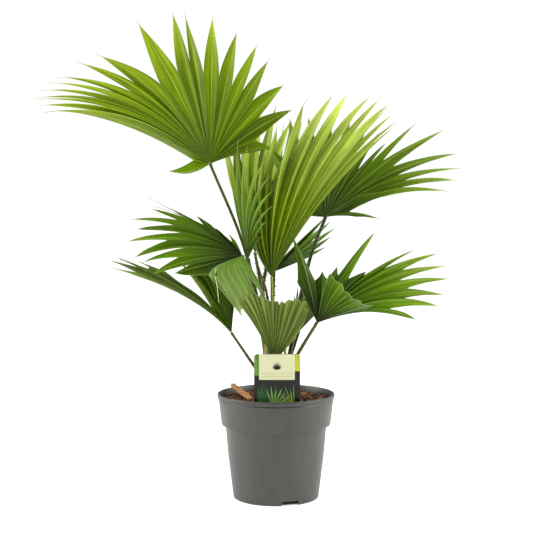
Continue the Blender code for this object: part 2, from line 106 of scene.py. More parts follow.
def start_material(name, base, roughness, **sockets):
    """A material with a Principled shader. sockets are the other values, such as IOR."""
    made = bpy.data.materials.new(name)
    made.use_nodes = True
    shader = made.node_tree.nodes["Principled BSDF"]
    shader.inputs["Base Color"].default_value = linear(base)
    shader.inputs["Roughness"].default_value = roughness
    for socket, value in sockets.items():
        shader.inputs[socket.replace("_", " ")].default_value = value
    return made, made.node_tree, shader


# Opal acrylic, cast and dull, lit a little from below, so that the floor meets the tent without a line.
acrylic, tree, shader = start_material("opal_acrylic_floor", "f2f2f0", 0.9, Emission_Strength=FLOOR_GLOW)
shader.inputs["Emission Color"].default_value = (1.0, 1.0, 1.0, 1.0)
bpy.ops.mesh.primitive_circle_add(vertices=96, radius=FLOOR_RADIUS, fill_type="NGON")
floor = bpy.context.object
floor.name = "floor"
floor.data.materials.append(acrylic)


# The pot: injection-moulded grey polypropylene, thin, with a rolled lip, a deep band that the next
# pot nests against, a tapering body and three drain notches in the corner of its foot.
POT_HEIGHT, RIM_RADIUS, WALL = 0.152, 0.085, 0.0022
BAND_TOP_RADIUS, BAND_FOOT_RADIUS, BAND_FOOT_HEIGHT = 0.0832, 0.0793, 0.107
BODY_TOP_RADIUS, MIDDLE_RADIUS, MIDDLE_HEIGHT = 0.0733, 0.0698, 0.064
LOWER_RADIUS, LOWER_HEIGHT, FOOT_RADIUS = 0.0655, 0.0294, 0.0622
POT_FLOOR, FOOT_RING_RADIUS, FOOT_RECESS = 0.0026, 0.050, 0.0008
POT_STEPS = 144
NOTCHES, NOTCH_WIDTH, NOTCH_HEIGHT, FIRST_NOTCH = 3, 0.027, 0.0068, math.radians(-71)
NOTCH_INNER_RADIUS, NOTCH_OUTER_RADIUS = 0.052, FOOT_RADIUS + 0.006
NOTCH_FOOT_SHARE, NOTCH_TOP_SHARE = 1.08, 0.88
PIP_X, PIP_SIZE, PIP_LOW = 0.006, 0.0030, BAND_FOOT_HEIGHT + 0.0022


def arc(radius, height, size, first, last, steps=5):
    """Points of a rounded corner: its centre, its radius and its angles in degrees."""
    turns = np.radians(np.linspace(first, last, steps))
    return [(radius + size * math.cos(t), height + size * math.sin(t)) for t in turns]


def new_object(name, points, faces, *materials, edges=()):
    """An object at the origin, with a mesh of its own and its materials in order."""
    mesh = bpy.data.meshes.new(name)
    mesh.from_pydata([tuple(p) for p in points], edges, faces)
    for one in materials:
        mesh.materials.append(one)
    made = bpy.data.objects.new(name, mesh)
    scene.collection.objects.link(made)
    return made


def settle(made):
    """Turns an object with modifiers into a plain mesh object of the same name."""
    name, old = made.name, made.data
    mesh = bpy.data.meshes.new_from_object(made.evaluated_get(bpy.context.evaluated_depsgraph_get()))
    bpy.data.objects.remove(made)
    bpy.data.meshes.remove(old)
    mesh.name = name
    fresh = bpy.data.objects.new(name, mesh)
    scene.collection.objects.link(fresh)
    return fresh


def dress(piece, slot, *nodes):
    """Rides on the plant and stands for the nodes. slot is not used."""
    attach(piece, "root")
    if nodes:
        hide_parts(*nodes)


# Polypropylene with a fine spark-eroded mould texture: dull, with paler handling scuffs along its height.
# The texture's grain is drawn at 0.7 mm, coarser than life, so that it shows.
GRAIN = 0.0007
plastic, tree, shader = start_material("moulded_polypropylene", "373732", 0.52, IOR=1.49)
place = add(tree, "ShaderNodeTexCoord")
grain = add(tree, "ShaderNodeTexNoise", {"Scale": 1 / GRAIN, "Detail": 2.0},
            {"Vector": place.outputs["Object"]})
smear = add(tree, "ShaderNodeMapping", {"Scale": (60.0, 60.0, 9.0)}, {"Vector": place.outputs["Object"]})
scuff = add(tree, "ShaderNodeTexNoise", {"Scale": 1.0, "Detail": 5.0, "Roughness": 0.7},
            {"Vector": smear.outputs[0]})
tint = add(tree, "ShaderNodeValToRGB", None, {"Fac": scuff.outputs["Fac"]})
for end, position, colour in zip(tint.color_ramp.elements, (0.30, 0.72), ("2a2a27", "373732")):
    end.position, end.color = position, linear(colour)
tree.links.new(tint.outputs["Color"], shader.inputs["Base Color"])
rough = add(tree, "ShaderNodeMapRange", {"To Min": 0.38, "To Max": 0.54}, {"Value": scuff.outputs["Fac"]})
tree.links.new(rough.outputs["Result"], shader.inputs["Roughness"])
bump = add(tree, "ShaderNodeBump", {"Strength": 0.25, "Distance": 0.0001}, {"Height": grain.outputs["Fac"]})
tree.links.new(bump.outputs["Normal"], shader.inputs["Normal"])

# The profile runs from the middle of the floor up the inside, over the lip and down the outside. Its
# small steps are the mould's corner radii and the lip's roll.
profile = [
    (0.0, POT_FLOOR), (FOOT_RADIUS - WALL - 0.002, POT_FLOOR),
    (FOOT_RADIUS - WALL - 0.0006, POT_FLOOR + 0.0014),
    (LOWER_RADIUS - WALL, LOWER_HEIGHT), (MIDDLE_RADIUS - WALL, MIDDLE_HEIGHT),
    (BODY_TOP_RADIUS - WALL, BAND_FOOT_HEIGHT), (BODY_TOP_RADIUS - WALL + 0.0006, BAND_FOOT_HEIGHT + 0.0012),
    (BAND_FOOT_RADIUS - WALL - 0.001, BAND_FOOT_HEIGHT + 0.0024),
    (BAND_FOOT_RADIUS - WALL, BAND_FOOT_HEIGHT + 0.004),
    (BAND_TOP_RADIUS - WALL + 0.0004, POT_HEIGHT - 0.006)]
profile += arc(RIM_RADIUS - 0.0019, POT_HEIGHT - 0.0006, 0.0006, 170, 95, 3)
profile += arc(RIM_RADIUS - 0.0014, POT_HEIGHT - 0.0014, 0.0014, 80, 0)
profile += arc(RIM_RADIUS - 0.0012, POT_HEIGHT - 0.0052, 0.0012, 0, -70, 4)
profile += [(BAND_TOP_RADIUS - 0.0006, POT_HEIGHT - 0.0066), (BAND_TOP_RADIUS - 0.0006, POT_HEIGHT - 0.0074),
            (BAND_TOP_RADIUS, POT_HEIGHT - 0.0084)]
profile += arc(BAND_FOOT_RADIUS - 0.0016, BAND_FOOT_HEIGHT + 0.0016, 0.0016, 0, -90)
profile += [(BODY_TOP_RADIUS + 0.0016, BAND_FOOT_HEIGHT - 0.0004)]
profile += arc(BODY_TOP_RADIUS + 0.0014, BAND_FOOT_HEIGHT - 0.0019, 0.0014, 110, 180, 4)
profile += [(MIDDLE_RADIUS, MIDDLE_HEIGHT), (LOWER_RADIUS, LOWER_HEIGHT)]
profile += arc(FOOT_RADIUS - 0.0030, 0.0030, 0.0030, -5, -90, 7)
profile += [(FOOT_RING_RADIUS, 0.0), (FOOT_RING_RADIUS - 0.001, FOOT_RECESS), (0.0, FOOT_RECESS)]
pot = new_object("moulded_pot", [(r, 0.0, h) for r, h in profile], [], plastic,
                 edges=[(k, k + 1) for k in range(len(profile) - 1)])
screw = pot.modifiers.new("turn", "SCREW")
screw.angle = math.tau
screw.steps = screw.render_steps = POT_STEPS
screw.use_merge_vertices = True
screw.merge_threshold = 0.00001
cutters = []
for k in range(NOTCHES):
    turn = FIRST_NOTCH + math.tau * k / NOTCHES
    bpy.ops.mesh.primitive_cube_add(size=1)
    cutter = bpy.context.object
    for corner in cutter.data.vertices:
        wide = NOTCH_WIDTH * (NOTCH_FOOT_SHARE if corner.co.z < 0 else NOTCH_TOP_SHARE)
        u = ((NOTCH_OUTER_RADIUS + NOTCH_INNER_RADIUS) / 2
             + corner.co.x * (NOTCH_OUTER_RADIUS - NOTCH_INNER_RADIUS))
        v = corner.co.y * wide
        corner.co = (u * math.cos(turn) - v * math.sin(turn), u * math.sin(turn) + v * math.cos(turn),
                     corner.co.z * 2 * NOTCH_HEIGHT)
    hole = pot.modifiers.new(f"notch_{k}", "BOOLEAN")
    hole.operation, hole.object = "DIFFERENCE", cutter
    cutters.append(cutter)
pot = settle(pot)
for cutter in cutters:
    bpy.data.objects.remove(cutter)

# A small moulded pip on the band's edge, at the front.
lump = bmesh.new()
lump.from_mesh(pot.data)
front = -math.sqrt((BAND_FOOT_RADIUS + 0.0001) ** 2 - PIP_X ** 2)
corners = [lump.verts.new(spot) for spot in (
    (PIP_X - PIP_SIZE / 2, front + 0.0006, PIP_LOW), (PIP_X + PIP_SIZE / 2, front + 0.0006, PIP_LOW),
    (PIP_X, front + 0.0003, PIP_LOW + PIP_SIZE), (PIP_X, front - 0.0007, PIP_LOW + PIP_SIZE / 3))]
for side in ((0, 1, 3), (1, 2, 3), (2, 0, 3), (0, 2, 1)):
    lump.faces.new([corners[k] for k in side])
lump.to_mesh(pot.data)
lump.free()
pot.data.shade_smooth()
pot.data.set_sharp_from_angle(angle=math.radians(35))
dress(pot, "grey_plastic", "pot")


# The soil: moist peat under composted bark, filling the pot to just under the lip. Loose bark chips,
# coir threads and one long splinter lie on it. Chips keep clear of the label's slot and of the stem.
SOIL_TOP, SOIL_RIM_RADIUS, HEAP = 0.143, 0.0797, 0.0034
SOIL_ROUND, SOIL_RINGS = 72, 26
SOIL_INSET, SOIL_FOOT_INSET, SOIL_FOOT = 0.0034, 0.005, POT_FLOOR + 0.0004
# Below this height the soil is painted nearly black, as painted shade inside the pot.
PAINTED_SHADE_BELOW = 0.13
LABEL_X, LABEL_Y, LABEL_WIDTH, LABEL_THICK = 0.001, -0.0645, 0.0645, 0.0012
STEM_X, STEM_Y, STEM_TOP = -0.001, 0.002, 0.166
CLEAR_OF_STEM, CLEAR_OF_LABEL = 0.021, (0.034, 0.0025)
KINDS_OF_CHIP, CHIP_DENT, CHIP_UNLIKENESS = 5, 0.16, (0.85, 1.1)
# Loose bits: name, colours, size of one, number a square metre, least and most scale, tilt and seed.
CHIP_KINDS = (
    ("bark_dark_chips", "1c0f06", "432815", (0.0115, 0.0066, 0.0040), 21000, 0.35, 1.25, 0.7, 3),
    ("bark_red_chips", "4a2812", "87532b", (0.0110, 0.0056, 0.0030), 17000, 0.35, 1.35, 0.8, 4),
    ("bark_pale_chips", "6e4824", "b1854f", (0.0100, 0.0038, 0.0022), 7500, 0.40, 1.40, 0.8, 5),
    ("peat_crumbs", "20120a", "50321c", (0.0026, 0.0022, 0.0020), 90000, 0.50, 1.25, 1.5, 6),
    ("coir_threads", "593818", "94683a", (0.0200, 0.0007, 0.0007), 9500, 0.40, 1.40, 0.5, 7),
)
SPLINTER_TOP, SPLINTER_FOOT = Vector((-0.064, 0.044, 0.1560)), Vector((-0.0350, -0.0300, 0.1465))
SPLINTER_WIDTH, SPLINTER_THICK = 0.0086, 0.0024

# Peat, sieved and moist: very dark brown, with crumbs about 2 mm across, painted paler in their middles as
# painted light and darker in the gaps between them as painted shade.
CRUMB = 0.002
peat, tree, shader = start_material("moist_peat", "3a2212", 0.95, IOR=1.35)
place = add(tree, "ShaderNodeTexCoord")
crumbs = add(tree, "ShaderNodeTexVoronoi", {"Scale": 1 / CRUMB}, {"Vector": place.outputs["Object"]})
tint = add(tree, "ShaderNodeValToRGB", None, {"Fac": crumbs.outputs["Distance"]})
for end, colour in zip(tint.color_ramp.elements, ("5a3a22", "24140b")):
    end.color = linear(colour)
tree.links.new(tint.outputs["Color"], shader.inputs["Base Color"])
bump = add(tree, "ShaderNodeBump", {"Strength": 0.8, "Distance": 0.0012},
           {"Height": crumbs.outputs["Distance"]})
tree.links.new(bump.outputs["Normal"], shader.inputs["Normal"])
# Low in the pot the peat is painted nearly black: painted shade, the dark inside of the pot that the drain
# notches show.
wet_peat = start_material("wet_peat", "0a0705", 0.9, IOR=1.35)[0]


def fibrous_material(name, dark, light, waves, ends=(0.3, 0.7), roughness=0.85, bumps=(0.6, 0.0004), ior=1.4):
    """Dry plant fibre, dull and dusty: two colours in streaks of so many waves a metre along X, Y and Z."""
    made, tree, shader = start_material(name, light, roughness, IOR=ior)
    place = add(tree, "ShaderNodeTexCoord")
    drawn = add(tree, "ShaderNodeMapping", {"Scale": waves}, {"Vector": place.outputs["Object"]})
    fibre = add(tree, "ShaderNodeTexNoise", {"Scale": 1.0, "Detail": 3.0}, {"Vector": drawn.outputs[0]})
    tint = add(tree, "ShaderNodeValToRGB", None, {"Fac": fibre.outputs["Fac"]})
    for end, position, colour in zip(tint.color_ramp.elements, ends, (dark, light)):
        end.position, end.color = position, linear(colour)
    tree.links.new(tint.outputs["Color"], shader.inputs["Base Color"])
    if bumps:
        bump = add(tree, "ShaderNodeBump", {"Strength": bumps[0], "Distance": bumps[1]},
                   {"Height": fibre.outputs["Fac"]})
        tree.links.new(bump.outputs["Normal"], shader.inputs["Normal"])
    return made


def skin_over_rings(rings, first, last, inside_out=False):
    """Points and faces of a closed skin over rings of points, with a point at each end."""
    round_count, points = len(rings[0]), [first] + [spot for ring in rings for spot in ring] + [last]
    last_ring, faces = len(points) - 1 - round_count, []
    for k in range(round_count):
        after = (k + 1) % round_count
        faces.append((0, 1 + k, 1 + after))
        for a in range(1, last_ring, round_count):
            b = a + round_count
            faces.append((a + k, b + k, b + after, a + after))
        faces.append((last_ring + k, len(points) - 1, last_ring + after))
    return points, [face[:1] + face[:0:-1] for face in faces] if inside_out else faces


def soil_height(x, y):
    """Height of the soil's top: low mounds, and finer lumps on them."""
    spot = Vector((x, y, 0.0))
    return SOIL_TOP + HEAP * (noise.noise(spot * 38) * 0.6 + noise.noise(spot * 130) * 0.35)


def soil_ring(radius, height=None):
    """A ring of points on the soil's top, or at a given height."""
    turns = [math.tau * k / SOIL_ROUND for k in range(SOIL_ROUND)]
    ring = [(radius * math.cos(turn), radius * math.sin(turn)) for turn in turns]
    return [(x, y, soil_height(x, y) if height is None else height) for x, y in ring]


rings = [soil_ring(SOIL_RIM_RADIUS * (k + 1) / SOIL_RINGS) for k in range(SOIL_RINGS)]
rings += [soil_ring(radius - SOIL_INSET, height) for radius, height in (
    (BODY_TOP_RADIUS, BAND_FOOT_HEIGHT), (MIDDLE_RADIUS, MIDDLE_HEIGHT), (LOWER_RADIUS, LOWER_HEIGHT))]
rings.append(soil_ring(FOOT_RADIUS - SOIL_FOOT_INSET, SOIL_FOOT))
soil = new_object("soil_bed", *skin_over_rings(rings, (0.0, 0.0, soil_height(0, 0)), (0.0, 0.0, SOIL_FOOT)),
                  peat, wet_peat)
soil.data.shade_smooth()
# Faces low in the pot take the nearly black peat, as painted shade.
soil.data.polygons.foreach_set("material_index", [int(f.center.z < PAINTED_SHADE_BELOW) for f in soil.data.polygons])
dress(soil, "bark_soil", "soil")


def start_tree(name, **inputs):
    """A Geometry Nodes tree with its named inputs, and the outputs that give them."""
    group = bpy.data.node_groups.new(name, "GeometryNodeTree")
    for label, kind in {"Geometry": "Geometry", **inputs}.items():
        group.interface.new_socket(label.replace("_", " "), in_out="INPUT", socket_type="NodeSocket" + kind)
    group.interface.new_socket("Geometry", in_out="OUTPUT", socket_type="NodeSocketGeometry")
    return group, group.nodes.new("NodeGroupInput").outputs


def end_tree(group, placed, finish):
    """Ends a tree: makes its instances real and gives them their material."""
    real = add(group, "GeometryNodeRealizeInstances", None, {"Geometry": placed.outputs[0]})
    coat = add(group, "GeometryNodeSetMaterial", {"Material": finish}, {"Geometry": real.outputs[0]})
    group.links.new(coat.outputs[0], group.nodes.new("NodeGroupOutput").inputs[0])
    return group


def run_tree(made, group, inputs):
    """Runs a Geometry Nodes tree on an object and keeps the result as its mesh."""
    modifier = made.modifiers.new("nodes", "NODES")
    modifier.node_group = group
    for item in group.interface.items_tree:
        if item.in_out == "INPUT" and item.name in inputs:
            modifier[item.identifier] = inputs[item.name]
    return settle(made)


def scatter_tree(name, finish):
    """A tree that scatters chips on a surface, each turned and tilted at random."""
    group, given = start_tree(name, Chips="Collection", Chips_a_square_metre="Float", Least_scale="Float",
                              Most_scale="Float", Tilt="Float", Seed="Int")
    spots = add(group, "GeometryNodeDistributePointsOnFaces", None, {
        "Mesh": given["Geometry"], "Density": given["Chips a square metre"], "Seed": given["Seed"]})
    chips = add(group, "GeometryNodeCollectionInfo", {"Separate Children": True, "Reset Children": True},
                {"Collection": given["Chips"]})
    back = add(group, "ShaderNodeMath", {1: -1.0}, {0: given["Tilt"]}, operation="MULTIPLY")
    low = add(group, "ShaderNodeCombineXYZ", {"Z": 0.0}, {"X": back.outputs[0], "Y": back.outputs[0]})
    high = add(group, "ShaderNodeCombineXYZ", {"Z": math.tau}, {"X": given["Tilt"], "Y": given["Tilt"]})
    turn = add(group, "FunctionNodeRandomValue", None, {
        0: low.outputs[0], 1: high.outputs[0], "Seed": given["Seed"]}, data_type="FLOAT_VECTOR")
    size = add(group, "FunctionNodeRandomValue", None, {
        2: given["Least scale"], 3: given["Most scale"], "Seed": given["Seed"]}, data_type="FLOAT")
    placed = add(group, "GeometryNodeInstanceOnPoints", {"Pick Instance": True}, {
        "Points": spots.outputs["Points"], "Instance": chips.outputs[0], "Rotation": turn.outputs[0],
        "Scale": size.outputs[1]})
    return end_tree(group, placed, finish)


def chip_collection(name, size, seed):
    """Unlike chips: crushed lumps with the given length, width and thickness."""
    pick = random.Random(seed)
    group = bpy.data.collections.new(name)
    for k in range(KINDS_OF_CHIP):
        lump = bmesh.new()
        bmesh.ops.create_icosphere(lump, subdivisions=1, radius=0.5)
        for corner in lump.verts:
            corner.co += Vector([pick.uniform(-CHIP_DENT, CHIP_DENT) for _ in range(3)])
            corner.co = Vector([corner.co[a] * size[a] * pick.uniform(*CHIP_UNLIKENESS) for a in range(3)])
        mesh = bpy.data.meshes.new(f"{name}_{k}")
        lump.to_mesh(mesh)
        lump.free()
        group.objects.link(bpy.data.objects.new(f"{name}_{k}", mesh))
    return group


# Split bark, peat crumbs and coir: fibres about 1.5 mm apart, rough and dusty, in the chips' own colours.
BARK_WAVES = (700.0, 700.0, 700.0)
for name, dark, light, size, density, least, most, tilt, seed in CHIP_KINDS:
    bed = bmesh.new()
    bed.from_mesh(soil.data)
    reach = max(size) / 2 * most
    off = []
    for face in bed.faces:
        middle = face.calc_center_median()
        if (face.normal.z < 0.5 or middle.xy.length > SOIL_RIM_RADIUS - 0.4 * reach
                or (middle.xy - Vector((STEM_X, STEM_Y))).length < CLEAR_OF_STEM
                or (abs(middle.x) < CLEAR_OF_LABEL[0] and abs(middle.y - LABEL_Y) < CLEAR_OF_LABEL[1])):
            off.append(face)
    bmesh.ops.delete(bed, geom=off, context="FACES")
    chips = new_object(name, [], [])
    bed.to_mesh(chips.data)
    bed.free()
    finish = fibrous_material("split_" + name, dark, light, BARK_WAVES)
    chips = run_tree(chips, scatter_tree(name + "_scatter", finish), {
        "Chips": chip_collection(name + "_kinds", size, seed), "Chips a square metre": density,
        "Least scale": least, "Most scale": most, "Tilt": tilt, "Seed": seed})
    dress(chips, "bark_soil")


def thicken(made, thickness, sharp=None, **settings):
    """Gives a sheet its thickness and smooths it. An edge sharper than so many degrees stays sharp."""
    thick = made.modifiers.new("thick", "SOLIDIFY")
    thick.thickness = thickness
    for name, value in settings.items():
        setattr(thick, name, value)
    made = settle(made)
    made.data.shade_smooth()
    if sharp:
        made.data.set_sharp_from_angle(angle=math.radians(sharp))
    return made


# The long splinter: pale split softwood with torn ends, leaning on the wall at the back left.
pick = random.Random(12)
lump = bmesh.new()
bmesh.ops.create_grid(lump, x_segments=14, y_segments=5, size=0.5)
along = SPLINTER_TOP - SPLINTER_FOOT
side = along.cross(Vector((0, 0, 1))).normalized()
up = side.cross(along).normalized()
for corner in lump.verts:
    u, v = corner.co.x, corner.co.y
    ragged = 1 + 0.10 * math.sin(v * 19 + 2) if abs(u) > 0.45 else 1
    narrow = 1 - 0.35 * abs(u) - 0.25 * max(0, u)
    lift = 0.0010 * math.sin(v * 14) + 0.0014 * (0.25 - v * v) * 4 + pick.uniform(-0.0003, 0.0003)
    corner.co = ((SPLINTER_TOP + SPLINTER_FOOT) / 2 + along * u * ragged + side * v * SPLINTER_WIDTH * narrow
                 + up * lift)
softwood = fibrous_material("split_softwood", "5e3a1c", "b0834c", BARK_WAVES)
splinter = new_object("long_splinter", [], [], softwood)
lump.to_mesh(splinter.data)
lump.free()
dress(thicken(splinter, SPLINTER_THICK, 40), "bark_soil")


# The stem: a short stump of packed leaf bases, wrapped in brown fibre and buried by its foot.
STEM_FOOT, STEM_FLARE_RADIUS, STEM_TOP_RADIUS, STEM_CROWN = 0.137, 0.0225, 0.0195, 0.002
STEM_ROWS, STEM_ROUND = 14, 60

# Dry leaf fibre: rough threads along the stem, about 1 mm apart, in straw and dark brown.
fibre = fibrous_material("dry_leaf_fibre", "2a210f", "76663a", (900.0, 900.0, 60.0),
                         ends=(0.32, 0.68), roughness=0.9, bumps=(0.8, 0.0006))
rings = []
for row in range(STEM_ROWS + 1):
    share = row / STEM_ROWS
    radius = STEM_TOP_RADIUS + (STEM_FLARE_RADIUS - STEM_TOP_RADIUS) * (1 - share) ** 2
    rings.append([])
    for k in range(STEM_ROUND):
        turn = math.tau * k / STEM_ROUND
        scale = 1 + 0.045 * math.cos(7 * turn + 5 * share) + 0.02 * math.cos(19 * turn - 3 * share)
        rings[-1].append((STEM_X + radius * scale * math.cos(turn), STEM_Y + radius * scale * math.sin(turn),
                          STEM_FOOT + (STEM_TOP - STEM_FOOT) * share))
stem = new_object("fibrous_stem", *skin_over_rings(
    rings, (STEM_X, STEM_Y, STEM_FOOT), (STEM_X, STEM_Y, STEM_TOP + STEM_CROWN), inside_out=True), fibre)
stem.data.shade_smooth()
dress(stem, "stem_fibre", "stem")


# The stalks: stiff, half-round leaf stalks, thicker and browner where they clasp the stem. Each grows
# from its foot on the stem, through points on its way, to the hub, a knuckle that the blade grows on.
# A foot is its bearing round the stem in degrees and its distance from the stem's middle. girth makes a
# stalk thicker than the rest.
STALKS = {
    "upper_left": dict(foot=(165, 0.0150), via=[(-0.019, 0.008, 0.225), (-0.0458, 0.013, 0.359)],
                       hub=(-0.095, 0.0, 0.483), skin="olive"),
    "centre": dict(foot=(-20, 0.0065), via=[(-0.004, 0.0, 0.245)], hub=(-0.006, 0.0, 0.320), skin="pale"),
    "upper_right": dict(foot=(4, 0.0150), via=[(0.0270, 0.012, 0.240), (0.050, 0.026, 0.344)],
                        hub=(0.073, 0.030, 0.406), skin="dark", girth=1.25),
    "left": dict(foot=(222, 0.0150), via=[(-0.017, -0.010, 0.225), (-0.034, -0.013, 0.290)],
                 hub=(-0.048, -0.022, 0.352), skin="olive"),
    "lower_left": dict(foot=(192, 0.0150), via=[(-0.034, -0.009, 0.195)], hub=(-0.064, -0.020, 0.241),
                       skin="olive"),
    "front": dict(foot=(-92, 0.0150), via=[], hub=(-0.003, -0.045, 0.204), skin="olive"),
    "lower_right": dict(foot=(-38, 0.0150), via=[(0.0330, -0.015, 0.213)], hub=(0.058, -0.030, 0.257),
                        skin="olive", girth=1.1),
    "low_right_back": dict(foot=(36, 0.0155), via=[(0.023, 0.022, 0.205)], hub=(0.034, 0.035, 0.237),
                           skin="dark"),
    "centre_back": dict(foot=(70, 0.0070), via=[(-0.005, 0.020, 0.245)], hub=(-0.003, 0.030, 0.326),
                        skin="dark"),
    "inner_left": dict(foot=(200, 0.0065), via=[(-0.011, -0.001, 0.225), (-0.027, -0.003, 0.290)],
                       hub=(-0.040, -0.008, 0.347), skin="olive"),
    "upper_back": dict(foot=(125, 0.0070), via=[(-0.0118, 0.018, 0.225), (-0.020, 0.036, 0.290)],
                       hub=(-0.031, 0.056, 0.352), skin="olive"),
    "back": dict(foot=(78, 0.0150), via=[(-0.006, 0.034, 0.230), (-0.019, 0.056, 0.300)],
                 hub=(0.001, 0.100, 0.377), skin="dark"),
    "back_left": dict(foot=(112, 0.0155), via=[(-0.013, 0.032, 0.225), (-0.030, 0.060, 0.285)],
                      hub=(-0.043, 0.090, 0.336), skin="dark"),
}
STALK_SINK, STALK_COLLAR, STALK_HEEL = 0.002, 0.006, 0.0005
STALK_FOOT_RADIUS, STALK_TIP_RADIUS, STALK_FLATNESS = 0.0035, 0.0024, 0.62
KNUCKLE_RADIUS, KNUCKLE_LENGTH, KNUCKLE_CROWN = 0.0029, 0.003, 0.0018
CLASP, CLASP_LENGTH = 1.7, 0.030
STALK_SECTIONS, STALK_SIDES, CURVE_STEPS = 36, 14, 24
FIRST_SPINE, LAST_SPINE_SHARE, SPINE_STEP, SPINE_SPREAD = 0.016, 0.93, 0.0050, 0.002
SPINE_END_CLEAR, SPINE_SINK, SPINE_LEAN, SPINE_THINNING = 0.006, 0.85, 0.35, 0.6
SPINE_LENGTH, SPINE_RADIUS, SPINE_POINT = 0.0034, 0.0011, 0.00005


def stalk_material(name, skin):
    """Smooth, slightly waxy skin in streaks 2 mm apart: green, and brown for 70 mm above the stem."""
    made, tree, shader = start_material(name, skin, 0.45, IOR=1.45, Specular_IOR_Level=0.25)
    place = add(tree, "ShaderNodeTexCoord")
    parts = add(tree, "ShaderNodeSeparateXYZ", None, {0: place.outputs["Object"]})
    rise = add(tree, "ShaderNodeMapRange", {"From Min": 0.165, "From Max": 0.235},
               {"Value": parts.outputs["Z"]})
    streaks = add(tree, "ShaderNodeMapping", {"Scale": (500.0, 500.0, 30.0)},
                  {"Vector": place.outputs["Object"]})
    mottle = add(tree, "ShaderNodeTexNoise", {"Scale": 1.0, "Detail": 3.0}, {"Vector": streaks.outputs[0]})
    tone = add(tree, "ShaderNodeMapRange", {"From Min": 0.3, "From Max": 0.7, "To Min": 0.75, "To Max": 1.2},
               {"Value": mottle.outputs["Fac"]})
    base = add(tree, "ShaderNodeMix", {6: linear("4a2f12"), 7: linear(skin)}, {0: rise.outputs["Result"]},
               data_type="RGBA")
    toned = add(tree, "ShaderNodeMix", {0: 1.0}, {6: base.outputs[2], 7: tone.outputs["Result"]},
                data_type="RGBA", blend_type="MULTIPLY")
    tree.links.new(toned.outputs[2], shader.inputs["Base Color"])
    bump = add(tree, "ShaderNodeBump", {"Strength": 0.3, "Distance": 0.0003},
               {"Height": mottle.outputs["Fac"]})
    tree.links.new(bump.outputs["Normal"], shader.inputs["Normal"])
    return made


def unit(vectors):
    """Vectors brought to length 1."""
    vectors = np.asarray(vectors, float)
    return vectors / np.maximum(np.linalg.norm(vectors, axis=-1, keepdims=True), 1e-12)


def smooth_path(points, sections):
    """Points of a smooth curve through the given ones, evenly spaced."""
    points = np.array(points, float)
    ghost = np.vstack([2 * points[0] - points[1], points, 2 * points[-1] - points[-2]])
    fine = []
    for a, b, c, d in zip(ghost[:-3], ghost[1:-2], ghost[2:-1], ghost[3:]):
        for t in np.linspace(0, 1, CURVE_STEPS, endpoint=False):
            fine.append(0.5 * (2 * b + (c - a) * t + (2 * a - 5 * b + 4 * c - d) * t ** 2
                               + (3 * b - 3 * c + d - a) * t ** 3))
    fine = np.array(fine + [points[-1]])
    run = np.concatenate([[0], np.cumsum(np.linalg.norm(np.diff(fine, axis=0), axis=1))])
    marks = np.linspace(0, run[-1], sections + 1)
    return np.stack([np.interp(marks, run, fine[:, k]) for k in range(3)], -1)


def stalk_frames(stalk):
    """A stalk's middle line, its headings, its sideways directions, its radii, and the length so far."""
    bearing, distance = stalk["foot"]
    outward = np.array([math.cos(math.radians(bearing)), math.sin(math.radians(bearing)), 0.0])
    foot = np.array([STEM_X, STEM_Y, STEM_TOP - STALK_SINK]) + distance * outward
    body = smooth_path([foot + (0, 0, STALK_COLLAR)] + stalk["via"] + [stalk["hub"]], STALK_SECTIONS)
    path = np.vstack([foot, body])
    way = unit(np.gradient(path, axis=0))
    run = np.concatenate([[0], np.cumsum(np.linalg.norm(np.diff(path, axis=0), axis=1))])
    radii = STALK_TIP_RADIUS + (STALK_FOOT_RADIUS - STALK_TIP_RADIUS) * (1 - run / run[-1]) ** 1.5
    radii *= stalk.get("girth", 1.0)
    radii *= 1 + (CLASP - 1) * np.clip(1 - run / CLASP_LENGTH, 0, 1) ** 1.5
    radii += (KNUCKLE_RADIUS - STALK_TIP_RADIUS) * np.exp(-((run[-1] - run) / KNUCKLE_LENGTH) ** 2)
    return path, way, unit(np.cross(way, outward)), radii, run


stalk_skins = {name: stalk_material(f"{name}_stalk_skin", colour) for name, colour in (
    ("pale", "7c8c1c"), ("olive", "3c4e08"), ("dark", "202e02"))}
spine_spots, spine_ways = [], []
for seed, (name, stalk) in enumerate(STALKS.items()):
    path, way, side, radii, run = stalk_frames(stalk)
    rings = []
    for spot, across, over, radius in zip(path, side, unit(np.cross(side, way)), radii):
        turns = [math.tau * k / STALK_SIDES for k in range(STALK_SIDES)]
        rings.append([spot + radius * (math.cos(turn) * across + (
            STALK_FLATNESS if math.sin(turn) > 0 else 1.0) * math.sin(turn) * over) for turn in turns])
    petiole = new_object("petiole_" + name, *skin_over_rings(
        rings, path[0] - way[0] * STALK_HEEL, path[-1] + way[-1] * KNUCKLE_CROWN), stalk_skins[stalk["skin"]])
    petiole.data.shade_smooth()
    dress(petiole, "stalk_skin", "stalk_" + name)
    # Where the spines stand along both edges, further apart towards the blade.
    pick = random.Random(seed)
    mark = FIRST_SPINE
    while mark < run[-1] * LAST_SPINE_SHARE:
        for hand in (-1, 1):
            here = min(mark + pick.uniform(-SPINE_SPREAD, SPINE_SPREAD), run[-1] - SPINE_END_CLEAR)
            spot, across, ahead = [np.array([np.interp(here, run, values[:, k]) for k in range(3)])
                                   for values in (path, side, way)]
            spine_spots.append(spot + hand * across * np.interp(here, run, radii) * SPINE_SINK)
            spine_ways.append(unit(hand * across - SPINE_LEAN * ahead))
        mark += SPINE_STEP * (1 + SPINE_THINNING * mark / run[-1])


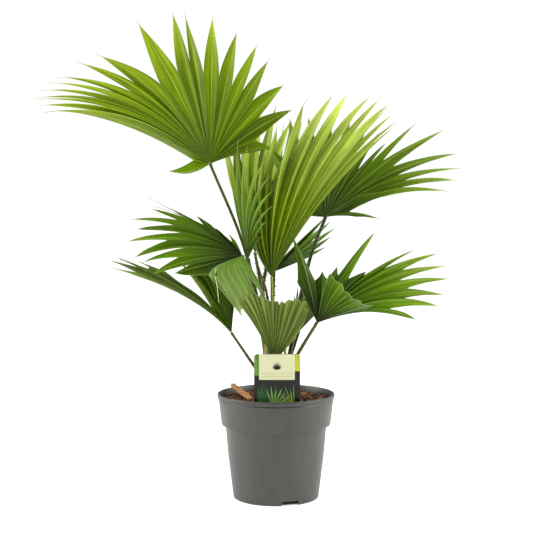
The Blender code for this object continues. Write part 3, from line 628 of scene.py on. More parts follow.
# The spines: straight brown points that lean back to the stem. They are horn, hard and a little glossy,
# and are set on points that carry their direction.
horn = start_material("horny_spine", "5a3c1a", 0.5, IOR=1.5)[0]
group, given = start_tree("stalk_spines", Spine_length="Float", Spine_radius="Float", Seed="Int")
cone = add(group, "GeometryNodeMeshCone", {"Vertices": 6, "Radius Top": SPINE_POINT}, {
    "Radius Bottom": given["Spine radius"], "Depth": given["Spine length"]})
out = add(group, "GeometryNodeInputNamedAttribute", {"Name": "way"}, data_type="FLOAT_VECTOR")
turn = add(group, "FunctionNodeAlignRotationToVector", None, {"Vector": out.outputs[0]}, axis="Z")
size = add(group, "FunctionNodeRandomValue", {2: 0.55, 3: 1.25}, {"Seed": given["Seed"]}, data_type="FLOAT")
placed = add(group, "GeometryNodeInstanceOnPoints", None, {
    "Points": given["Geometry"], "Instance": cone.outputs["Mesh"], "Rotation": turn.outputs[0],
    "Scale": size.outputs[1]})
spines = new_object("stalk_spines", spine_spots, [])
ways = spines.data.attributes.new("way", "FLOAT_VECTOR", "POINT")
ways.data.foreach_set("vector", np.array(spine_ways).ravel())
spines = run_tree(spines, end_tree(group, placed, horn), {
    "Spine length": SPINE_LENGTH, "Spine radius": SPINE_RADIUS, "Seed": 2})
dress(spines, "stalk_skin")


# The fronds: pleated fans of leaflets that are joined up to a share of their reach and free beyond it,
# each folded along its rib. Bearings are in degrees anticlockwise from +X as the front sees them, and
# depths in degrees away from the front. A station is a leaflet's number, the bearing and depth that it
# starts with, those that it ends with, and its reach in metres; leaflets between stations follow both.
#   look      its colours, one of LOOKS
#   pleat     depth of a leaflet's fold, as a share of half its width
#   split     share of their reach up to which leaflets are joined, and cuts, that of single seams
#   stiff     how late a leaflet bends on its way
#   leaflets  their numbers, where they aren't 0, 1, 2 and so on; only stations and threads go by them
#   threads   first and last leaflet whose tips are threads, and the thread's share of the free finger
#   power     range of how long a finger keeps its width, and powers, that of single leaflets
#   neck      how much a finger narrows just beyond its split
#   edges     how far the outer seams stand outside the first and last rib, in shares of half a leaflet
#   folded    leaflets that are turned over and show their underside, nearly flat
#   creases   share of its reach at which a leaflet bends all at once
#   tones     brightness of single leaflets, painted light and painted shade on leaflets in more or less light
#   dry       more leaflets with dry tips
FRONDS = {
    "upper_left": dict(
        look="bright", pleat=0.42, split=0.63, threads=(1, 9, 0.14), power=(1.4, 1.9), edges=(0.42, None),
        powers={0: 1.1}, tones={0: 2.1}, cuts={1: 0.14, 10: 0.58}, stations=[
            (0, 205, 6, 171, 8, 0.062), (1, 140.5, -17, 192, -18, 0.258), (2, 139, -16, 191, -17, 0.268),
            (4, 135.5, -13, 188, -14, 0.276), (7, 128, -8, 177, -9, 0.258), (9, 120, -5, 154, -5, 0.230),
            (10, 112, -3, 122, -2, 0.230), (11, 102, -1, 108, 0, 0.222), (12, 97, 1, 101, 3, 0.219),
            (13, 89, 3, 91, 5, 0.214), (14, 79, 5, 77, 6, 0.196), (16, 64, 9, 55, 10, 0.179),
            (18, 42, 15, 24, 14, 0.152), (19, 25, 20, 0, 16, 0.100)]),
    "centre": dict(
        look="young", pleat=0.95, power=(1.7, 2.3), split=0.70, stiff=1.0,
        cuts={2: 0.62, 3: 0.62, 4: 0.46, 5: 0.60, 6: 0.61, 7: 0.66}, stations=[
            (0, 127, -16, 86, 2, 0.104), (1, 118, -15, 82, 2, 0.148), (2, 109, -14, 78, 1, 0.192),
            (3, 101, -13, 73, 0, 0.226), (4, 95, -12, 64, -2, 0.264), (5, 87, -11, 57, -3, 0.280),
            (6, 80, -10, 54, -4, 0.292), (7, 74, -9, 50, -4, 0.300), (8, 71, -8, 47, -3, 0.305),
            (10, 67, -4, 43.5, 0, 0.298), (12, 63.5, 0, 40, 3, 0.288), (13, 62, 2, 38.5, 5, 0.284)]),
    "upper_right": dict(
        look="mid", power=(2.0, 2.8), neck=0.3, cuts={17: 0.35}, tones={k: 1.3 for k in range(11, 16)},
        stations=[
            (0, 176, 26, 160, 24, 0.085), (1, 156, 25, 140, 22, 0.120), (2, 135, 23, 120, 20, 0.150),
            (3, 117, 20, 103, 16, 0.165), (4, 105, 18, 92, 14, 0.158), (5, 91, 15, 81, 12, 0.152),
            (7, 70, 10, 60, 8, 0.152), (9, 55, 5, 45, 4, 0.140), (10, 52.5, 1, 38, 1, 0.190),
            (11, 47, -3, 25.5, -3, 0.213), (12, 41, -7, 8, -6, 0.215), (13, 37, -10, -1, -9, 0.211),
            (14, 34, -14, -5, -12, 0.201), (15, 32, -19, -11, -16, 0.186), (16, 32, -30, 5, -25, 0.126),
            (17, 16, -48, -20, -38, 0.104)]),
    "left": dict(
        look="deep", split=0.64, threads=(3, 4, 0.40), power=(2.3, 3.0), neck=0.3, edges=(0.6, 1.0),
        leaflets=[0, 1, 2, 3, 4, 4.5, 5, 6, 7, 8, 9, 10, 11, 12, 13, 14, 15.5], folded=(13, 17), dry=(13, 16),
        creases={13: 0.39, 14: 0.28, 15: 0.20, 16: 0.18}, powers={0: 1.4, 13: 1.5, 16: 1.6},
        tones={0: 6.0, 8: 1.15, 9: 1.2, 10: 1.2, 11: 1.1},
        cuts={1: 0.5, 2: 0.9, 3: 0.6, 4: 0.52, 8: 0.56, 10: 0.52, 13: 0.50, 14: 0.86, 15: 0.84, 16: 0.42},
        stations=[
            (0, 119, 30, 130, 28, 0.044), (1, 140, 28, 131, 26, 0.062), (2, 141, 25, 138, 23, 0.096),
            (3, 139, 22, 166, 18, 0.158), (4, 142, 18, 160, 14, 0.171), (4.5, 143, 16, 166, 12, 0.154),
            (5, 143, 13, 186, 9, 0.178), (6, 149, 8, 189, 4, 0.163), (7, 154, 2, 195, -2, 0.170),
            (8, 160, -4, 208, -8, 0.161), (9, 167, -9, 204, -12, 0.148), (10, 177, -14, 208, -16, 0.135),
            (11, 191, -18, 197, -14, 0.104), (12, 203, -24, 304, 8, 0.129), (13, 211, -32, 299, 5, 0.110),
            (14, 228, -44, 296, 0, 0.082), (15, 262, -58, 297, -2, 0.074), (16, 320, -54, 303, -4, 0.076)]),
    "lower_left": dict(
        look="leathery", pleat=0.5, split=0.80, stiff=0.7, neck=0.2, folded=(0, 6),
        cuts={6: 0.22, 7: 0.90, 8: 0.88, **{k: 0.9 for k in range(9, 15)}},
        powers={4: 1.2, 5: 0.8, 6: 1.1, **{k: 3.0 for k in range(7, 15)}},
        tones={k: 0.9 for k in range(6, 15)}, stations=[
            (0, 128, -8, 164, -6, 0.198), (2, 126, -4, 163, -3, 0.207), (4, 124, 2, 162, 2, 0.195),
            (5, 124, 6, 157, 5, 0.175), (6, 119, 12, 132, 8, 0.130), (7, 117, 18, 116, 16, 0.115),
            (9, 110, 26, 103, 22, 0.120), (12, 98, 35, 90, 30, 0.112), (14, 88, 42, 82, 38, 0.092)]),
    "front": dict(
        look="grey", pleat=0.7, power=(3.0, 4.5), split=0.965, stiff=1.6, cuts={5: 0.93, 9: 0.88, 10: 0.93},
        stations=[
            (0, 115, -12, 141, 40, 0.121), (2, 109, -12, 128, 41, 0.119), (4, 103, -12, 114, 42, 0.106),
            (6, 95, -12, 101, 42, 0.093), (9, 83, -14, 81, 40, 0.089), (11, 70, -18, 70, 36, 0.100),
            (12, 61, -20, 68, 34, 0.101), (13, 50, -22, 68, 32, 0.094)]),
    "lower_right": dict(
        look="deep", split=0.68, folded=(12, 17), power=(1.8, 2.4), neck=0.35, edges=(1.2, None),
        leaflets=[0, 1, 2, 3, 3.5, 4, 5, 6, 7, 8, 9, 10, 11, 12, 13, 14, 15],
        powers={0: 1.25, 1: 1.6, 3: 2.6, 4: 2.5},
        tones={0: 0.62, 1: 0.8, 4: 0.9, **{k: 1.15 for k in range(5, 12)}},
        cuts={0: 0.47, 1: 0.57, 2: 0.80, 3: 0.62, 4: 0.60, 5: 0.70, 6: 0.66, 11: 0.64, 12: 0.60, 13: 0.90,
              14: 0.92, 15: 0.90, 16: 0.92}, stations=[
            (0, 100, 0, 114, -2, 0.137), (1, 78, 6, 92, 6, 0.076), (2, 73, 10, 66, 9, 0.086),
            (3, 63, 8, 50, 8, 0.156), (3.5, 53, 7, 35, 7, 0.104), (4, 50, 6, 20, 6, 0.176),
            (5, 45, 4, 10, 4, 0.203), (6, 40, 1, 4, 1, 0.206), (7, 36, -3, -3, -3, 0.202),
            (8, 32, -7, -8, -7, 0.190), (9, 28.5, -13, -13, -11, 0.181), (10, 24, -22, -22, -20, 0.154),
            (11, 28, -32, 18, -48, 0.105), (12, 36, -35, 30, -60, 0.098), (13, 50, -35, 45, -66, 0.100),
            (14, 64, -32, 62, -68, 0.107), (15, 80, -30, 80, -70, 0.114)]),
    "low_right_back": dict(look="deep", split=0.62, stations=[
        (0, 104, 32, 85, 40, 0.066), (3, 84, 38, 70, 45, 0.104), (6, 62, 42, 55, 50, 0.112),
        (9, 44, 40, 36, 45, 0.090)]),
    "centre_back": dict(look="deep", pleat=0.4, cuts={5: 0.15}, stations=[
        (0, 20, 28, 28, 42, 0.105), (2, 34, 30, 33, 42, 0.138), (4, 45, 33, 43, 44, 0.140),
        (5, 66, 42, 66, 50, 0.105), (8, 88, 46, 88, 52, 0.095)]),
    "inner_left": dict(look="glossy", pleat=0.5, power=(1.6, 2.2), split=0.46, stiff=1.7, stations=[
        (0, 104, -6, 92, -4, 0.152), (1, 101, -12, 84, -8, 0.176), (2, 98, -16, 76, -10, 0.168),
        (3, 95, -20, 52, -14, 0.158), (4, 92, -24, 44, -18, 0.142), (5, 88, -27, 38, -22, 0.122),
        (6, 84, -30, 34, -26, 0.100), (7, 79, -32, 36, -30, 0.076), (8, 70, -34, 40, -34, 0.050)]),
    "upper_back": dict(
        look="young", split=0.62, power=(1.2, 1.6), leaflets=[0, 1.6, 3.2, 4.8, 6.4, 8, 9.6, 11.2, 13],
        stations=[
            (0, 111, 15, 97, 10, 0.195), (2, 104, 18, 88, 15, 0.228), (5, 94, 20, 78, 18, 0.255),
            (7, 86, 23, 71, 21, 0.252), (9, 78, 26, 63, 24, 0.212), (13, 59, 34, 48, 32, 0.160)]),
    "back": dict(look="mid", stations=[
        (0, 92, 38, 88, 34, 0.205), (3, 80, 41, 74, 38, 0.245), (7, 62, 46, 54, 44, 0.232),
        (11, 44, 50, 34, 50, 0.160)]),
    "back_left": dict(look="deep", stations=[
        (0, 152, 42, 160, 38, 0.135), (3, 162, 50, 172, 46, 0.158), (6, 178, 60, 190, 54, 0.165),
        (9, 206, 69, 214, 62, 0.160), (12, 250, 74, 256, 68, 0.148), (14, 290, 72, 300, 68, 0.130)]),
}
# What a frond has where it says nothing else.
PLEAT, SPLIT, STIFF, TIP_POWERS = 0.45, 0.60, 1.2, (1.35, 1.85)
BLADE_THICK, HUB_GAP = 0.0005, 0.0018
OPEN_SPACING, EDGE_SHARE = math.radians(10), 0.4
JOINED_ROWS, FREE_ROWS, PATH_STEPS = 16, 22, 60
BEARING_SPREAD, DEPTH_SPREAD, SPLIT_SPREAD, TWIST = 2.0, 6, 0.035, 0.45
THREAD_WIDTH, THREAD_SHARES, NECK_LENGTH, BULGE = 0.05, (0.02, 0.10), 0.45, 0.10
CREASE_WIDTH, FOLDED_PLEAT = 0.16, 0.12
DRY_SHARE, DRY_ROWS = 0.15, 3

# Leaf skins: young blades are yellow-green and soft, old ones dark and leathery. All have a waxy bloom.
# A look holds the colours near the hub, half-way and at the tips, that of ribs and margins, and those of
# the underside near the hub and further out. Those near the hub are darker as painted shade, deep in the fan.
LOOKS = {
    "bright": ("3c5200", "587000", "869a1c", "aabe54", "5c7408", "748a1a"),
    "young": ("384e00", "637a02", "98a944", "bccb80", "607a14", "8a9a48"),
    "mid": ("223800", "466000", "809438", "98aa54", "4e6414", "84924a"),
    "glossy": ("2a4200", "547004", "869c3a", "b8c78c", "4e6a16", "698032"),
    "deep": ("0c1800", "466600", "869838", "9caf62", "4c6a1c", "74884a"),
    "leathery": ("344a00", "4c6608", "7c8e40", "8c9d54", "466018", "647834"),
    "grey": ("3e4e0a", "66762e", "85934e", "b0bc88", "52641a", "768442"),
}
TOP_GLOSS, WAXED, UNDER_GLOSS, UNDER_VEINED = 0.46, {"glossy": 0.34, "deep": 0.38}, 0.6, 0.25
# A leaflet has parallel veins under half a millimetre apart. Seven over its width, coarser than life, show.
LONGEST_LEAFLET, VEINS = 0.27, 7.0


def leaf_material(name, near, middle, far, line, gloss, veined):
    """A pleated leaf's skin, drawn along its UV map: u counts leaflets, v is metres from the hub."""
    made, tree, shader = start_material(name, far, gloss, IOR=1.45, Specular_IOR_Level=0.11)
    flow = add(tree, "ShaderNodeUVMap")
    parts = add(tree, "ShaderNodeSeparateXYZ", None, {0: flow.outputs[0]})
    # Colour deepens towards the hub, as painted shade deep in the fan, and yellows towards the tips.
    length = add(tree, "ShaderNodeMath", {1: LONGEST_LEAFLET}, {0: parts.outputs["Y"]}, operation="DIVIDE")
    base = add(tree, "ShaderNodeValToRGB", None, {"Fac": length.outputs[0]})
    for end, position, colour in zip(base.color_ramp.elements, (0.04, 0.95), (near, far)):
        end.position, end.color = position, linear(colour)
    base.color_ramp.elements.new(0.42).color = linear(middle)
    # Parallel veins, a slow change of tone along each leaflet, and each leaflet's own tone.
    fine = add(tree, "ShaderNodeVectorMath", {1: (VEINS, 5.0, 1.0)},
               {0: flow.outputs[0]}, operation="MULTIPLY")
    veins = add(tree, "ShaderNodeTexNoise", {"Scale": 1.0, "Detail": 4.0, "Roughness": 0.72},
                {"Vector": fine.outputs[0]})
    long = add(tree, "ShaderNodeVectorMath", {1: (2.3, 16.0, 1.0)},
               {0: flow.outputs[0]}, operation="MULTIPLY")
    slow = add(tree, "ShaderNodeTexNoise", {"Scale": 1.0, "Detail": 2.0}, {"Vector": long.outputs[0]})
    leaflet = add(tree, "ShaderNodeMath", None, {0: parts.outputs["X"]}, operation="FLOOR")
    chance = add(tree, "ShaderNodeTexWhiteNoise", None, {"W": leaflet.outputs[0]}, noise_dimensions="1D")
    # The tone attribute carries the painted light and painted shade of single leaflets.
    tone = add(tree, "ShaderNodeAttribute", attribute_name="tone").outputs["Fac"]
    for source, low, high, darkest, lightest in (
        (veins.outputs["Fac"], 0.32, 0.68, 1 - 0.46 * veined, 1 + 0.46 * veined),
        (slow.outputs["Fac"], 0.30, 0.70, 1 - 0.23 * veined, 1 + 0.23 * veined),
        (chance.outputs["Value"], 0.0, 1.0, 0.78, 1.20),
    ):
        shade = add(tree, "ShaderNodeMapRange", {
            "From Min": low, "From Max": high, "To Min": darkest, "To Max": lightest}, {"Value": source})
        tone = add(tree, "ShaderNodeMath", None, {0: tone, 1: shade.outputs["Result"]},
                   operation="MULTIPLY").outputs[0]
    toned = add(tree, "ShaderNodeMix", {0: 1.0}, {6: base.outputs["Color"], 7: tone}, data_type="RGBA",
                blend_type="MULTIPLY")
    # The rib is a pale line, and so is the margin. A leaflet's margins lie at whole numbers of u.
    inward = add(tree, "ShaderNodeMath", {1: 0.5}, {0: parts.outputs["X"]}, operation="PINGPONG")
    rib_line = add(tree, "ShaderNodeMapRange", {
        "From Min": 0.465, "From Max": 0.492, "To Min": 0.0, "To Max": 0.5}, {"Value": inward.outputs[0]})
    margin = add(tree, "ShaderNodeMapRange", {
        "From Min": 0.005, "From Max": 0.035, "To Min": 0.35, "To Max": 0.0}, {"Value": inward.outputs[0]})
    lines = add(tree, "ShaderNodeMath", None, {0: rib_line.outputs["Result"], 1: margin.outputs["Result"]},
                operation="MAXIMUM")
    final = add(tree, "ShaderNodeMix", {7: linear(line)}, {0: lines.outputs[0], 6: toned.outputs[2]},
                data_type="RGBA")
    tree.links.new(final.outputs[2], shader.inputs["Base Color"])
    bump = add(tree, "ShaderNodeBump", {"Strength": 0.6, "Distance": 0.0003},
               {"Height": veins.outputs["Fac"]})
    tree.links.new(bump.outputs["Normal"], shader.inputs["Normal"])
    return made


def heading(bearing, depth):
    """Directions from bearings and depths in degrees."""
    bearing, depth = np.radians(bearing), np.radians(depth)
    return np.stack([np.cos(depth) * np.cos(bearing), np.sin(depth), np.cos(depth) * np.sin(bearing)], -1)


def between(values):
    """Values at the seams: half-way between neighbours, and the first and last as they are."""
    return np.concatenate([values[:1], (values[:-1] + values[1:]) / 2, values[-1:]])


def seam_headings(headings, edges):
    """Headings of the seams. The outer ones stand outside the ribs by shares of half a leaflet."""
    middle = unit(headings[:-1] + headings[1:])
    first = unit(headings[0] - (middle[0] - headings[0]) * edges[0])
    last = unit(headings[-1] - (middle[-1] - headings[-1]) * edges[1])
    return np.vstack([first, middle, last])


def bent_paths(start, end, reach, share, bend):
    """Points and headings at each share of each path. bend is how far its heading has gone at each step."""
    fine = np.linspace(0, 1, PATH_STEPS + 1)
    way = unit(start[:, None] + (end - start)[:, None] * bend[:, :, None])
    middle = (way[:, 1:] + way[:, :-1]) / 2
    run = np.concatenate([np.zeros((len(start), 1, 3)), np.cumsum(middle, axis=1) / PATH_STEPS], axis=1)
    point, head = np.empty(share.shape + (3,)), np.empty(share.shape + (3,))
    for i in range(len(start)):
        for k in range(3):
            point[i, :, k] = np.interp(share[i], fine, run[i, :, k]) * reach[i]
            head[i, :, k] = np.interp(share[i], fine, way[i, :, k])
    return point, unit(head)


def fan(frond, seed):
    """Grid of a pleated fan: (leaflet, row, column, xyz), and the shares of reach of its rows."""
    pick = np.random.default_rng(seed)
    marks = np.array(frond["stations"], float)
    number = np.array(frond.get("leaflets", range(int(marks[-1, 0]) + 1)), float)
    b0, d0, b1, d1, reach = (np.interp(number, marks[:, 0], marks[:, k]) for k in range(1, 6))
    count = len(number)
    start, end = heading(b0, d0), heading(b1 + pick.uniform(-BEARING_SPREAD, BEARING_SPREAD, count),
                                          d1 + pick.uniform(-DEPTH_SPREAD, DEPTH_SPREAD, count))
    # Leaflets bend gradually, and creased ones all at once.
    steps = np.linspace(0, 1, PATH_STEPS + 1)
    bend = np.tile(steps ** frond.get("stiff", STIFF), (count, 1))
    for k, crease in frond.get("creases", {}).items():
        bend[k] = np.clip((steps - crease) / CREASE_WIDTH + 0.5, 0, 1)
    spacing = np.arccos(np.clip((start[:-1] * start[1:]).sum(1), -1, 1))
    grow = np.minimum(1, OPEN_SPACING / spacing)
    edges = [grow[end] * EDGE_SHARE if share is None else share
             for end, share in zip((0, -1), frond.get("edges", (None, None)))]
    # Seams end where the leaflets part, and ribs go on to the tips.
    seam_reach = between(reach)
    chance = pick.uniform(-SPLIT_SPREAD, SPLIT_SPREAD, count + 1)
    split = np.clip(frond.get("split", SPLIT) + chance, 0.05, 0.95)
    for seam, share in frond.get("cuts", {}).items():
        split[seam] = share
    rib_split = (split[:-1] + split[1:]) / 2
    joined, free = np.linspace(0, 1, JOINED_ROWS + 1), np.linspace(0, 1, FREE_ROWS + 1)[1:]
    seam_share = HUB_GAP / seam_reach[:, None] + (split - HUB_GAP / seam_reach)[:, None] * joined
    rib_share = np.concatenate([
        HUB_GAP / reach[:, None] + (rib_split - HUB_GAP / reach)[:, None] * joined,
        rib_split[:, None] + (1 - rib_split)[:, None] * free], axis=1)
    seam, _ = bent_paths(seam_headings(start, edges), seam_headings(end, edges), seam_reach, seam_share,
                         between(bend))
    rib, way = bent_paths(start, end, reach, rib_share, bend)
    last = JOINED_ROWS
    across = seam[1:] - seam[:-1]
    across = np.concatenate([across, np.repeat(across[:, -1:], FREE_ROWS, axis=1)], axis=1)
    normal = unit(np.cross(way, across))
    side = unit(np.cross(normal, way))
    # Each leaflet is a V with its rib at the bottom, so the seams stand up and the ribs sink.
    first, final = frond.get("folded", (count, count))
    deep = frond.get("pleat", PLEAT) * (np.linalg.norm(across, axis=2) / 2)
    deep[first:final] *= FOLDED_PLEAT
    rib[:, :last + 1] -= normal[:, :last + 1] * deep[:, :last + 1, None] / 2
    rib[:, last + 1:] -= normal[:, last + 1:] * (deep[:, last, None] * (1 - free ** 2))[..., None] / 2
    seam_normal = unit(np.concatenate([normal[:1], normal[:-1] + normal[1:], normal[-1:]]))[:, :last + 1]
    seam = seam + seam_normal * between(deep)[:, :last + 1, None] / 2
    edge = np.empty((count, last + 1 + FREE_ROWS, 2, 3))
    edge[:, :last + 1, 0], edge[:, :last + 1, 1] = seam[:-1], seam[1:]
    # The free fingers narrow to their tips, twist a little, and may end in a thread.
    thin, thinner, thread = frond.get("threads", (0, -1, 0.0))
    thread = np.where((number >= thin) & (number <= thinner), thread, pick.uniform(*THREAD_SHARES, count))
    twist = pick.uniform(-TWIST, TWIST, count)
    power = pick.uniform(*frond.get("power", TIP_POWERS), count)
    for k, value in frond.get("powers", {}).items():
        power[k] = value
    for hand in (0, 1):
        offset = edge[:, last, hand] - rib[:, last]
        along, out, up = [(offset * basis[:, last]).sum(1) for basis in (way, side, normal)]
        for m, t in enumerate(free):
            at = last + 1 + m
            slim = 1 - frond.get("neck", 0.0) * min(t / NECK_LENGTH, 1) ** 0.7
            taper = np.maximum(slim * (1 - np.minimum(t / (1 - thread), 1) ** power),
                               THREAD_WIDTH * (1 - t ** 4))
            turn = twist * t ** 1.5
            flat = np.cos(turn)[:, None] * side[:, at] + np.sin(turn)[:, None] * normal[:, at]
            rise = -np.sin(turn)[:, None] * side[:, at] + np.cos(turn)[:, None] * normal[:, at]
            forward = (along * (1 - t) ** 1.5)[:, None] * way[:, at]
            outward = taper[:, None] * (out[:, None] * flat + up[:, None] * rise)
            edge[:, at, hand] = rib[:, at] + forward + outward
    grid = np.empty((count, last + 1 + FREE_ROWS, 5, 3))
    grid[:, :, 0], grid[:, :, 2], grid[:, :, 4] = edge[:, :, 0], rib, edge[:, :, 1]
    bulge = BULGE * np.linalg.norm(edge[:, :, 1] - edge[:, :, 0], axis=2)[..., None] / 2 * normal
    grid[:, :, 1] = (grid[:, :, 0] + grid[:, :, 2]) / 2 - bulge
    grid[:, :, 3] = (grid[:, :, 4] + grid[:, :, 2]) / 2 - bulge
    return grid, rib_share, reach


def blade(name, frond, hub, seed, skins):
    """The blade's mesh: skin above, paler skin below, leaflets turned over, and a few dry tips."""
    grid, share, reach = fan(frond, seed)
    count, rows = grid.shape[:2]
    at = np.arange(count * rows * 5).reshape(count, rows, 5)
    quads = np.stack([at[:, :-1, :-1], at[:, :-1, 1:], at[:, 1:, 1:], at[:, 1:, :-1]], -1)
    if frond["stations"][0][1] < frond["stations"][-1][1]:
        quads = quads[..., ::-1]
    made = new_object(name, (grid + np.array(hub)).reshape(-1, 3), quads.reshape(-1, 4).tolist(), *skins)
    u = np.arange(count)[:, None, None] + np.linspace(0.001, 0.999, 5)[None, None, :] + np.zeros((1, rows, 1))
    v = (share * reach[:, None])[:, :, None] + np.zeros((1, 1, 5))
    spots = np.stack([u, v], -1).reshape(-1, 2)[quads.reshape(-1)]
    made.data.uv_layers.new(name="leaf").data.foreach_set("uv", spots.reshape(-1))
    dry = np.random.default_rng(seed + 50).uniform(0, 1, count) < DRY_SHARE
    dry[list(frond.get("dry", ()))] = True
    owner = np.zeros((count, rows - 1, 4), int)
    owner[slice(*frond.get("folded", (count, count)))] = 1
    owner[dry, -DRY_ROWS:] = 3
    made.data.polygons.foreach_set("material_index", owner.reshape(-1))
    # Each leaflet's tone is painted light and painted shade: it lifts or dims the whole leaflet.
    tones = np.repeat([frond.get("tones", {}).get(k, 1.0) for k in range(count)], (rows - 1) * 4)
    made.data.attributes.new("tone", "FLOAT", "FACE").data.foreach_set("value", tones)
    tool = bmesh.new()
    tool.from_mesh(made.data)
    bmesh.ops.remove_doubles(tool, verts=tool.verts, dist=0.00002)
    tool.to_mesh(made.data)
    tool.free()
    return thicken(made, BLADE_THICK, 28, offset=0.0, material_offset=1)


# A few tips have withered to dull straw.
dry_tip = start_material("dry_leaf_tip", "8c7434", 0.7)[0]
skins = {}
for look, (near, middle, far, line, under_near, under) in LOOKS.items():
    top_skin = leaf_material(f"waxy_{look}_leaf", near, middle, far, line, WAXED.get(look, TOP_GLOSS), 1.0)
    under_skin = leaf_material(f"matte_{look}_underleaf", under_near, under, under, line, UNDER_GLOSS,
                               UNDER_VEINED)
    # Solidify gives the lower side the next slot: skin and underskin, underskin and skin, dry and dry.
    skins[look] = (top_skin, under_skin, top_skin, dry_tip, dry_tip)
for seed, (name, frond) in enumerate(FRONDS.items()):
    made = blade("blade_" + name, frond, STALKS[name]["hub"], seed, skins[frond["look"]])
    dress(made, "blade_green", "frond_" + name)


# The dry sheaths: the split, fibrous edges of old leaf bases, standing against the stem. Each is a ragged
# strip: the route of its middle, its width at the foot, and what it is made of.
SHEATH_ROWS, SHEATH_THICK, SHEATH_CURL = 40, 0.0007, 0.0012
# Leaf bases that are still withering: green going brown in streaks, papery and dull.
base_skin = fibrous_material("withering_leaf_base", "7d5a2c", "a5aa50", (700.0, 700.0, 40.0),
                             ends=(0.34, 0.58), roughness=0.6, bumps=None, ior=1.42)
SHEATHS = {
    "sheath_left": ([(-0.0155, -0.0171, 0.150), (-0.0158, -0.0174, 0.166), (-0.0155, -0.022, 0.195),
                     (-0.0145, -0.024, 0.229)], 0.009, base_skin),
    "sheath_right": ([(0.0125, -0.0173, 0.150), (0.0125, -0.0175, 0.166), (0.0125, -0.022, 0.195),
                      (0.0132, -0.026, 0.230)], 0.008, base_skin),
    "sheath_strip": ([(-0.0045, -0.0075, 0.1664), (-0.0060, -0.008, 0.235), (-0.0125, -0.008, 0.292),
                      (-0.0280, -0.009, 0.344)], 0.0065, fibre),
}


def dry_strip(name, points, columns, thickness, finish, *nodes):
    """A thin dry strip through rows of points."""
    faces = [(k, k + 1, k + 1 + columns, k + columns) for k in range(len(points) - columns)
             if (k + 1) % columns]
    dress(thicken(new_object(name, points, faces, finish), thickness), "dry_sheath", *nodes)


for seed, (name, (route, width, finish)) in enumerate(SHEATHS.items()):
    pick = random.Random(seed + 30)
    points = []
    for row, (x, y, z) in enumerate(smooth_path(route, SHEATH_ROWS)):
        wide = width * (1 - 0.75 * (row / SHEATH_ROWS) ** 2) / 2
        for k in range(-3, 4):
            ragged = pick.uniform(-0.0004, 0.0006) if abs(k) == 3 else 0
            points.append((x + wide * k / 3 + (ragged if k > 0 else -ragged),
                           y + SHEATH_CURL * (k / 3) ** 2, z))
    dry_strip("dry_" + name, points, 7, SHEATH_THICK, finish, name)


# The hanging strip: a twisted thread of dry leaf margin, torn loose where the left frond is creased.
HANGING = [(-0.0852, -0.0402, 0.3350), (-0.0862, -0.0412, 0.3250), (-0.0838, -0.0420, 0.3130),
           (-0.0824, -0.0424, 0.3000), (-0.0806, -0.0428, 0.2860)]
HANGING_WIDTH, HANGING_THICK, HANGING_ROWS = 0.0016, 0.0003, 30
HANGING_TWIST, HANGING_SAG = 0.42, 0.0002
# Withered leaf margin: pale, dull and papery.
withered = start_material("withered_leaf_margin", "b9c58c", 0.6, IOR=1.42)[0]
pick = random.Random(41)
points = []
for row, (x, y, z) in enumerate(smooth_path(HANGING, HANGING_ROWS)):
    wide = HANGING_WIDTH * (1 - 0.8 * (row / HANGING_ROWS) ** 3) * pick.uniform(0.75, 1.0) / 2
    curl = 1.1 * math.sin(row * HANGING_TWIST)
    for hand in (-1, 0, 1):
        points.append((x + wide * hand * math.cos(curl), y + wide * hand * math.sin(curl),
                       z + HANGING_SAG * abs(hand)))
dry_strip("hanging_strip", points, 3, HANGING_THICK, withered)


# The label: a printed polypropylene card with rounded top corners, pushed into the soil at the front.
# Its print is a plain cream panel over dark green, with fans of leaf strokes, and it bears no words.
LABEL_TOP, LABEL_FOOT, LABEL_ROUND = 0.217, 0.110, 0.004
PANEL_LEFT, PANEL_RIGHT, PANEL_LOW, PANEL_TOP = -0.0242, 0.0258, 0.1808, 0.2166
GREEN_FOOT, LIME_FOOT = 0.187, 0.193
INK, STROKE_WIDTH, SHORTER_LEAF = 0.00006, 0.0021, 0.14
SPRIG_X, SPRIG_Z, SPRIG_LEAVES, SPRIG_LENGTH, SPRIG_SHORTER = 0.0008, 0.1950, 7, 0.0115, 0.0012
SPRIG_FIRST, SPRIG_TURN = 30, 20
RULE_HEIGHTS, RULE_INSET, RULE_HALF = (0.1860, 0.1900), 0.003, 0.00025
# How many films of ink lie under the fans, the panel and the sprig, and the step from leaf to leaf.
LEAF_FILMS, LEAF_STEP, PANEL_FILMS, SPRIG_FILMS, SPRIG_STEP = 1.0, 0.03, 2.4, 3.0, 0.1
INK_COLOURS = {
    "card": "e9e9df", "night_green": "0d100a", "cream": "c2c39b", "grey_line": "8f9274",
    "leaf_green": "587f2c", "lime": "a9ab30", "fern": "2a5a2a", "pale_leaf": "7da64e"}
# Fans of printed leaves: foot, first and last bearing, number of leaves, length and ink.
PRINTED_FANS = (
    (-0.026, 0.146, 8, 86, 8, 0.030, "fern"), (0.025, 0.138, 92, 150, 7, 0.036, "leaf_green"),
    (-0.006, 0.140, 28, 120, 8, 0.034, "fern"), (-0.004, 0.142, 35, 112, 6, 0.030, "pale_leaf"),
    (0.019, 0.136, 84, 128, 4, 0.026, "lime"),
)


def print_material(name, colour):
    """Matt ink printed on card, a little uneven: specks 1 mm apart, coarser than life, so that they show."""
    made, tree, shader = start_material(name, colour, 0.38, IOR=1.49, Specular_IOR_Level=0.3)
    place = add(tree, "ShaderNodeTexCoord")
    fleck = add(tree, "ShaderNodeTexNoise", {"Scale": 900.0, "Detail": 2.0},
                {"Vector": place.outputs["Object"]})
    shade = add(tree, "ShaderNodeMapRange", {"To Min": 0.92, "To Max": 1.06}, {"Value": fleck.outputs["Fac"]})
    mixed = add(tree, "ShaderNodeMix", {0: 1.0, 6: linear(colour)}, {7: shade.outputs["Result"]},
                data_type="RGBA", blend_type="MULTIPLY")
    tree.links.new(mixed.outputs[2], shader.inputs["Base Color"])
    return made


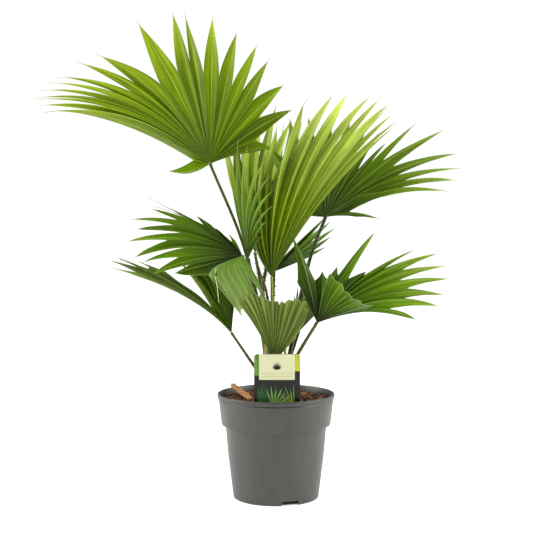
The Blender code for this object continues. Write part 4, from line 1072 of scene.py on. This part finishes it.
def card_outline(low, high, left, right):
    """A card's outline: square below, round at its two top corners."""
    size = LABEL_ROUND
    return [(left, low), (right, low)] + arc(right - size, high - size, size, 0, 90, 7) + arc(
        left + size, high - size, size, 90, 180, 7)


def rectangle(left, right, low, high):
    """A rectangle's outline."""
    return [(left, low), (right, low), (right, high), (left, high)]


def leaf_stroke(x, z, bearing, length):
    """The outline of one narrow leaf, from its foot."""
    foot, way = Vector((x, z)), Vector((math.cos(math.radians(bearing)), math.sin(math.radians(bearing))))
    across = Vector((-way.y, way.x))
    widths = ((0.0, 0.15), (0.25, 0.8), (0.5, 1.0), (0.75, 0.65), (1.0, 0.03))
    right = [foot + way * length * s - across * STROKE_WIDTH * w / 2 for s, w in widths]
    left = [foot + way * length * s + across * STROKE_WIDTH * w / 2 for s, w in widths]
    return [tuple(p) for p in right + left[::-1]]


# Each layer: its ink, its outline, its thickness, and how many ink films its foot stands before the card.
edge_left, edge_right = LABEL_X - LABEL_WIDTH / 2, LABEL_X + LABEL_WIDTH / 2
whole = card_outline(LABEL_FOOT, LABEL_TOP, edge_left, edge_right)
layers = [
    ("card", whole, LABEL_THICK, -LABEL_THICK / INK), ("night_green", whole, INK, 0),
    ("leaf_green", card_outline(GREEN_FOOT, LABEL_TOP, edge_left, PANEL_LEFT), INK, 1),
    ("lime", card_outline(LIME_FOOT, LABEL_TOP, PANEL_RIGHT, edge_right), INK, 1)]
printed = 0
for x, z, first, last, count, length, ink in PRINTED_FANS:
    for k in range(count):
        bearing = first + (last - first) * k / (count - 1)
        leaf = leaf_stroke(x, z, bearing, length * (1 - SHORTER_LEAF * (k % 2)))
        layers.append((ink, leaf, INK, LEAF_FILMS + LEAF_STEP * printed))
        printed += 1
layers.append(("cream", rectangle(PANEL_LEFT, PANEL_RIGHT, PANEL_LOW, PANEL_TOP), INK, PANEL_FILMS))
for k in range(SPRIG_LEAVES):
    length = SPRIG_LENGTH - SPRIG_SHORTER * abs(k - SPRIG_LEAVES // 2)
    leaf = leaf_stroke(SPRIG_X, SPRIG_Z, SPRIG_FIRST + SPRIG_TURN * k, length)
    layers.append(("night_green", leaf, INK, SPRIG_FILMS + SPRIG_STEP * k))
for height in RULE_HEIGHTS:
    rule = rectangle(PANEL_LEFT + RULE_INSET, PANEL_RIGHT - RULE_INSET,
                     height - RULE_HALF, height + RULE_HALF)
    layers.append(("grey_line", rule, INK, SPRIG_FILMS))
points, faces, owners = [], [], []
for ink, outline, thick, films in layers:
    n, foot = len(outline), len(points)
    y = LABEL_Y - LABEL_THICK / 2 - films * INK
    points += [(x, y - depth, z) for depth in (0, thick) for x, z in outline]
    sides = [tuple(reversed(range(n))), tuple(range(n, 2 * n))]
    sides += [(k, (k + 1) % n, n + (k + 1) % n, n + k) for k in range(n)]
    faces += [tuple(k + foot for k in side) for side in sides]
    owners += [list(INK_COLOURS).index(ink)] * len(sides)
inks = [print_material("printed_" + name, colour) for name, colour in INK_COLOURS.items()]
label = new_object("printed_label", points, faces, *inks)
label.data.polygons.foreach_set("material_index", owners)
dress(label, "label_card", "label")
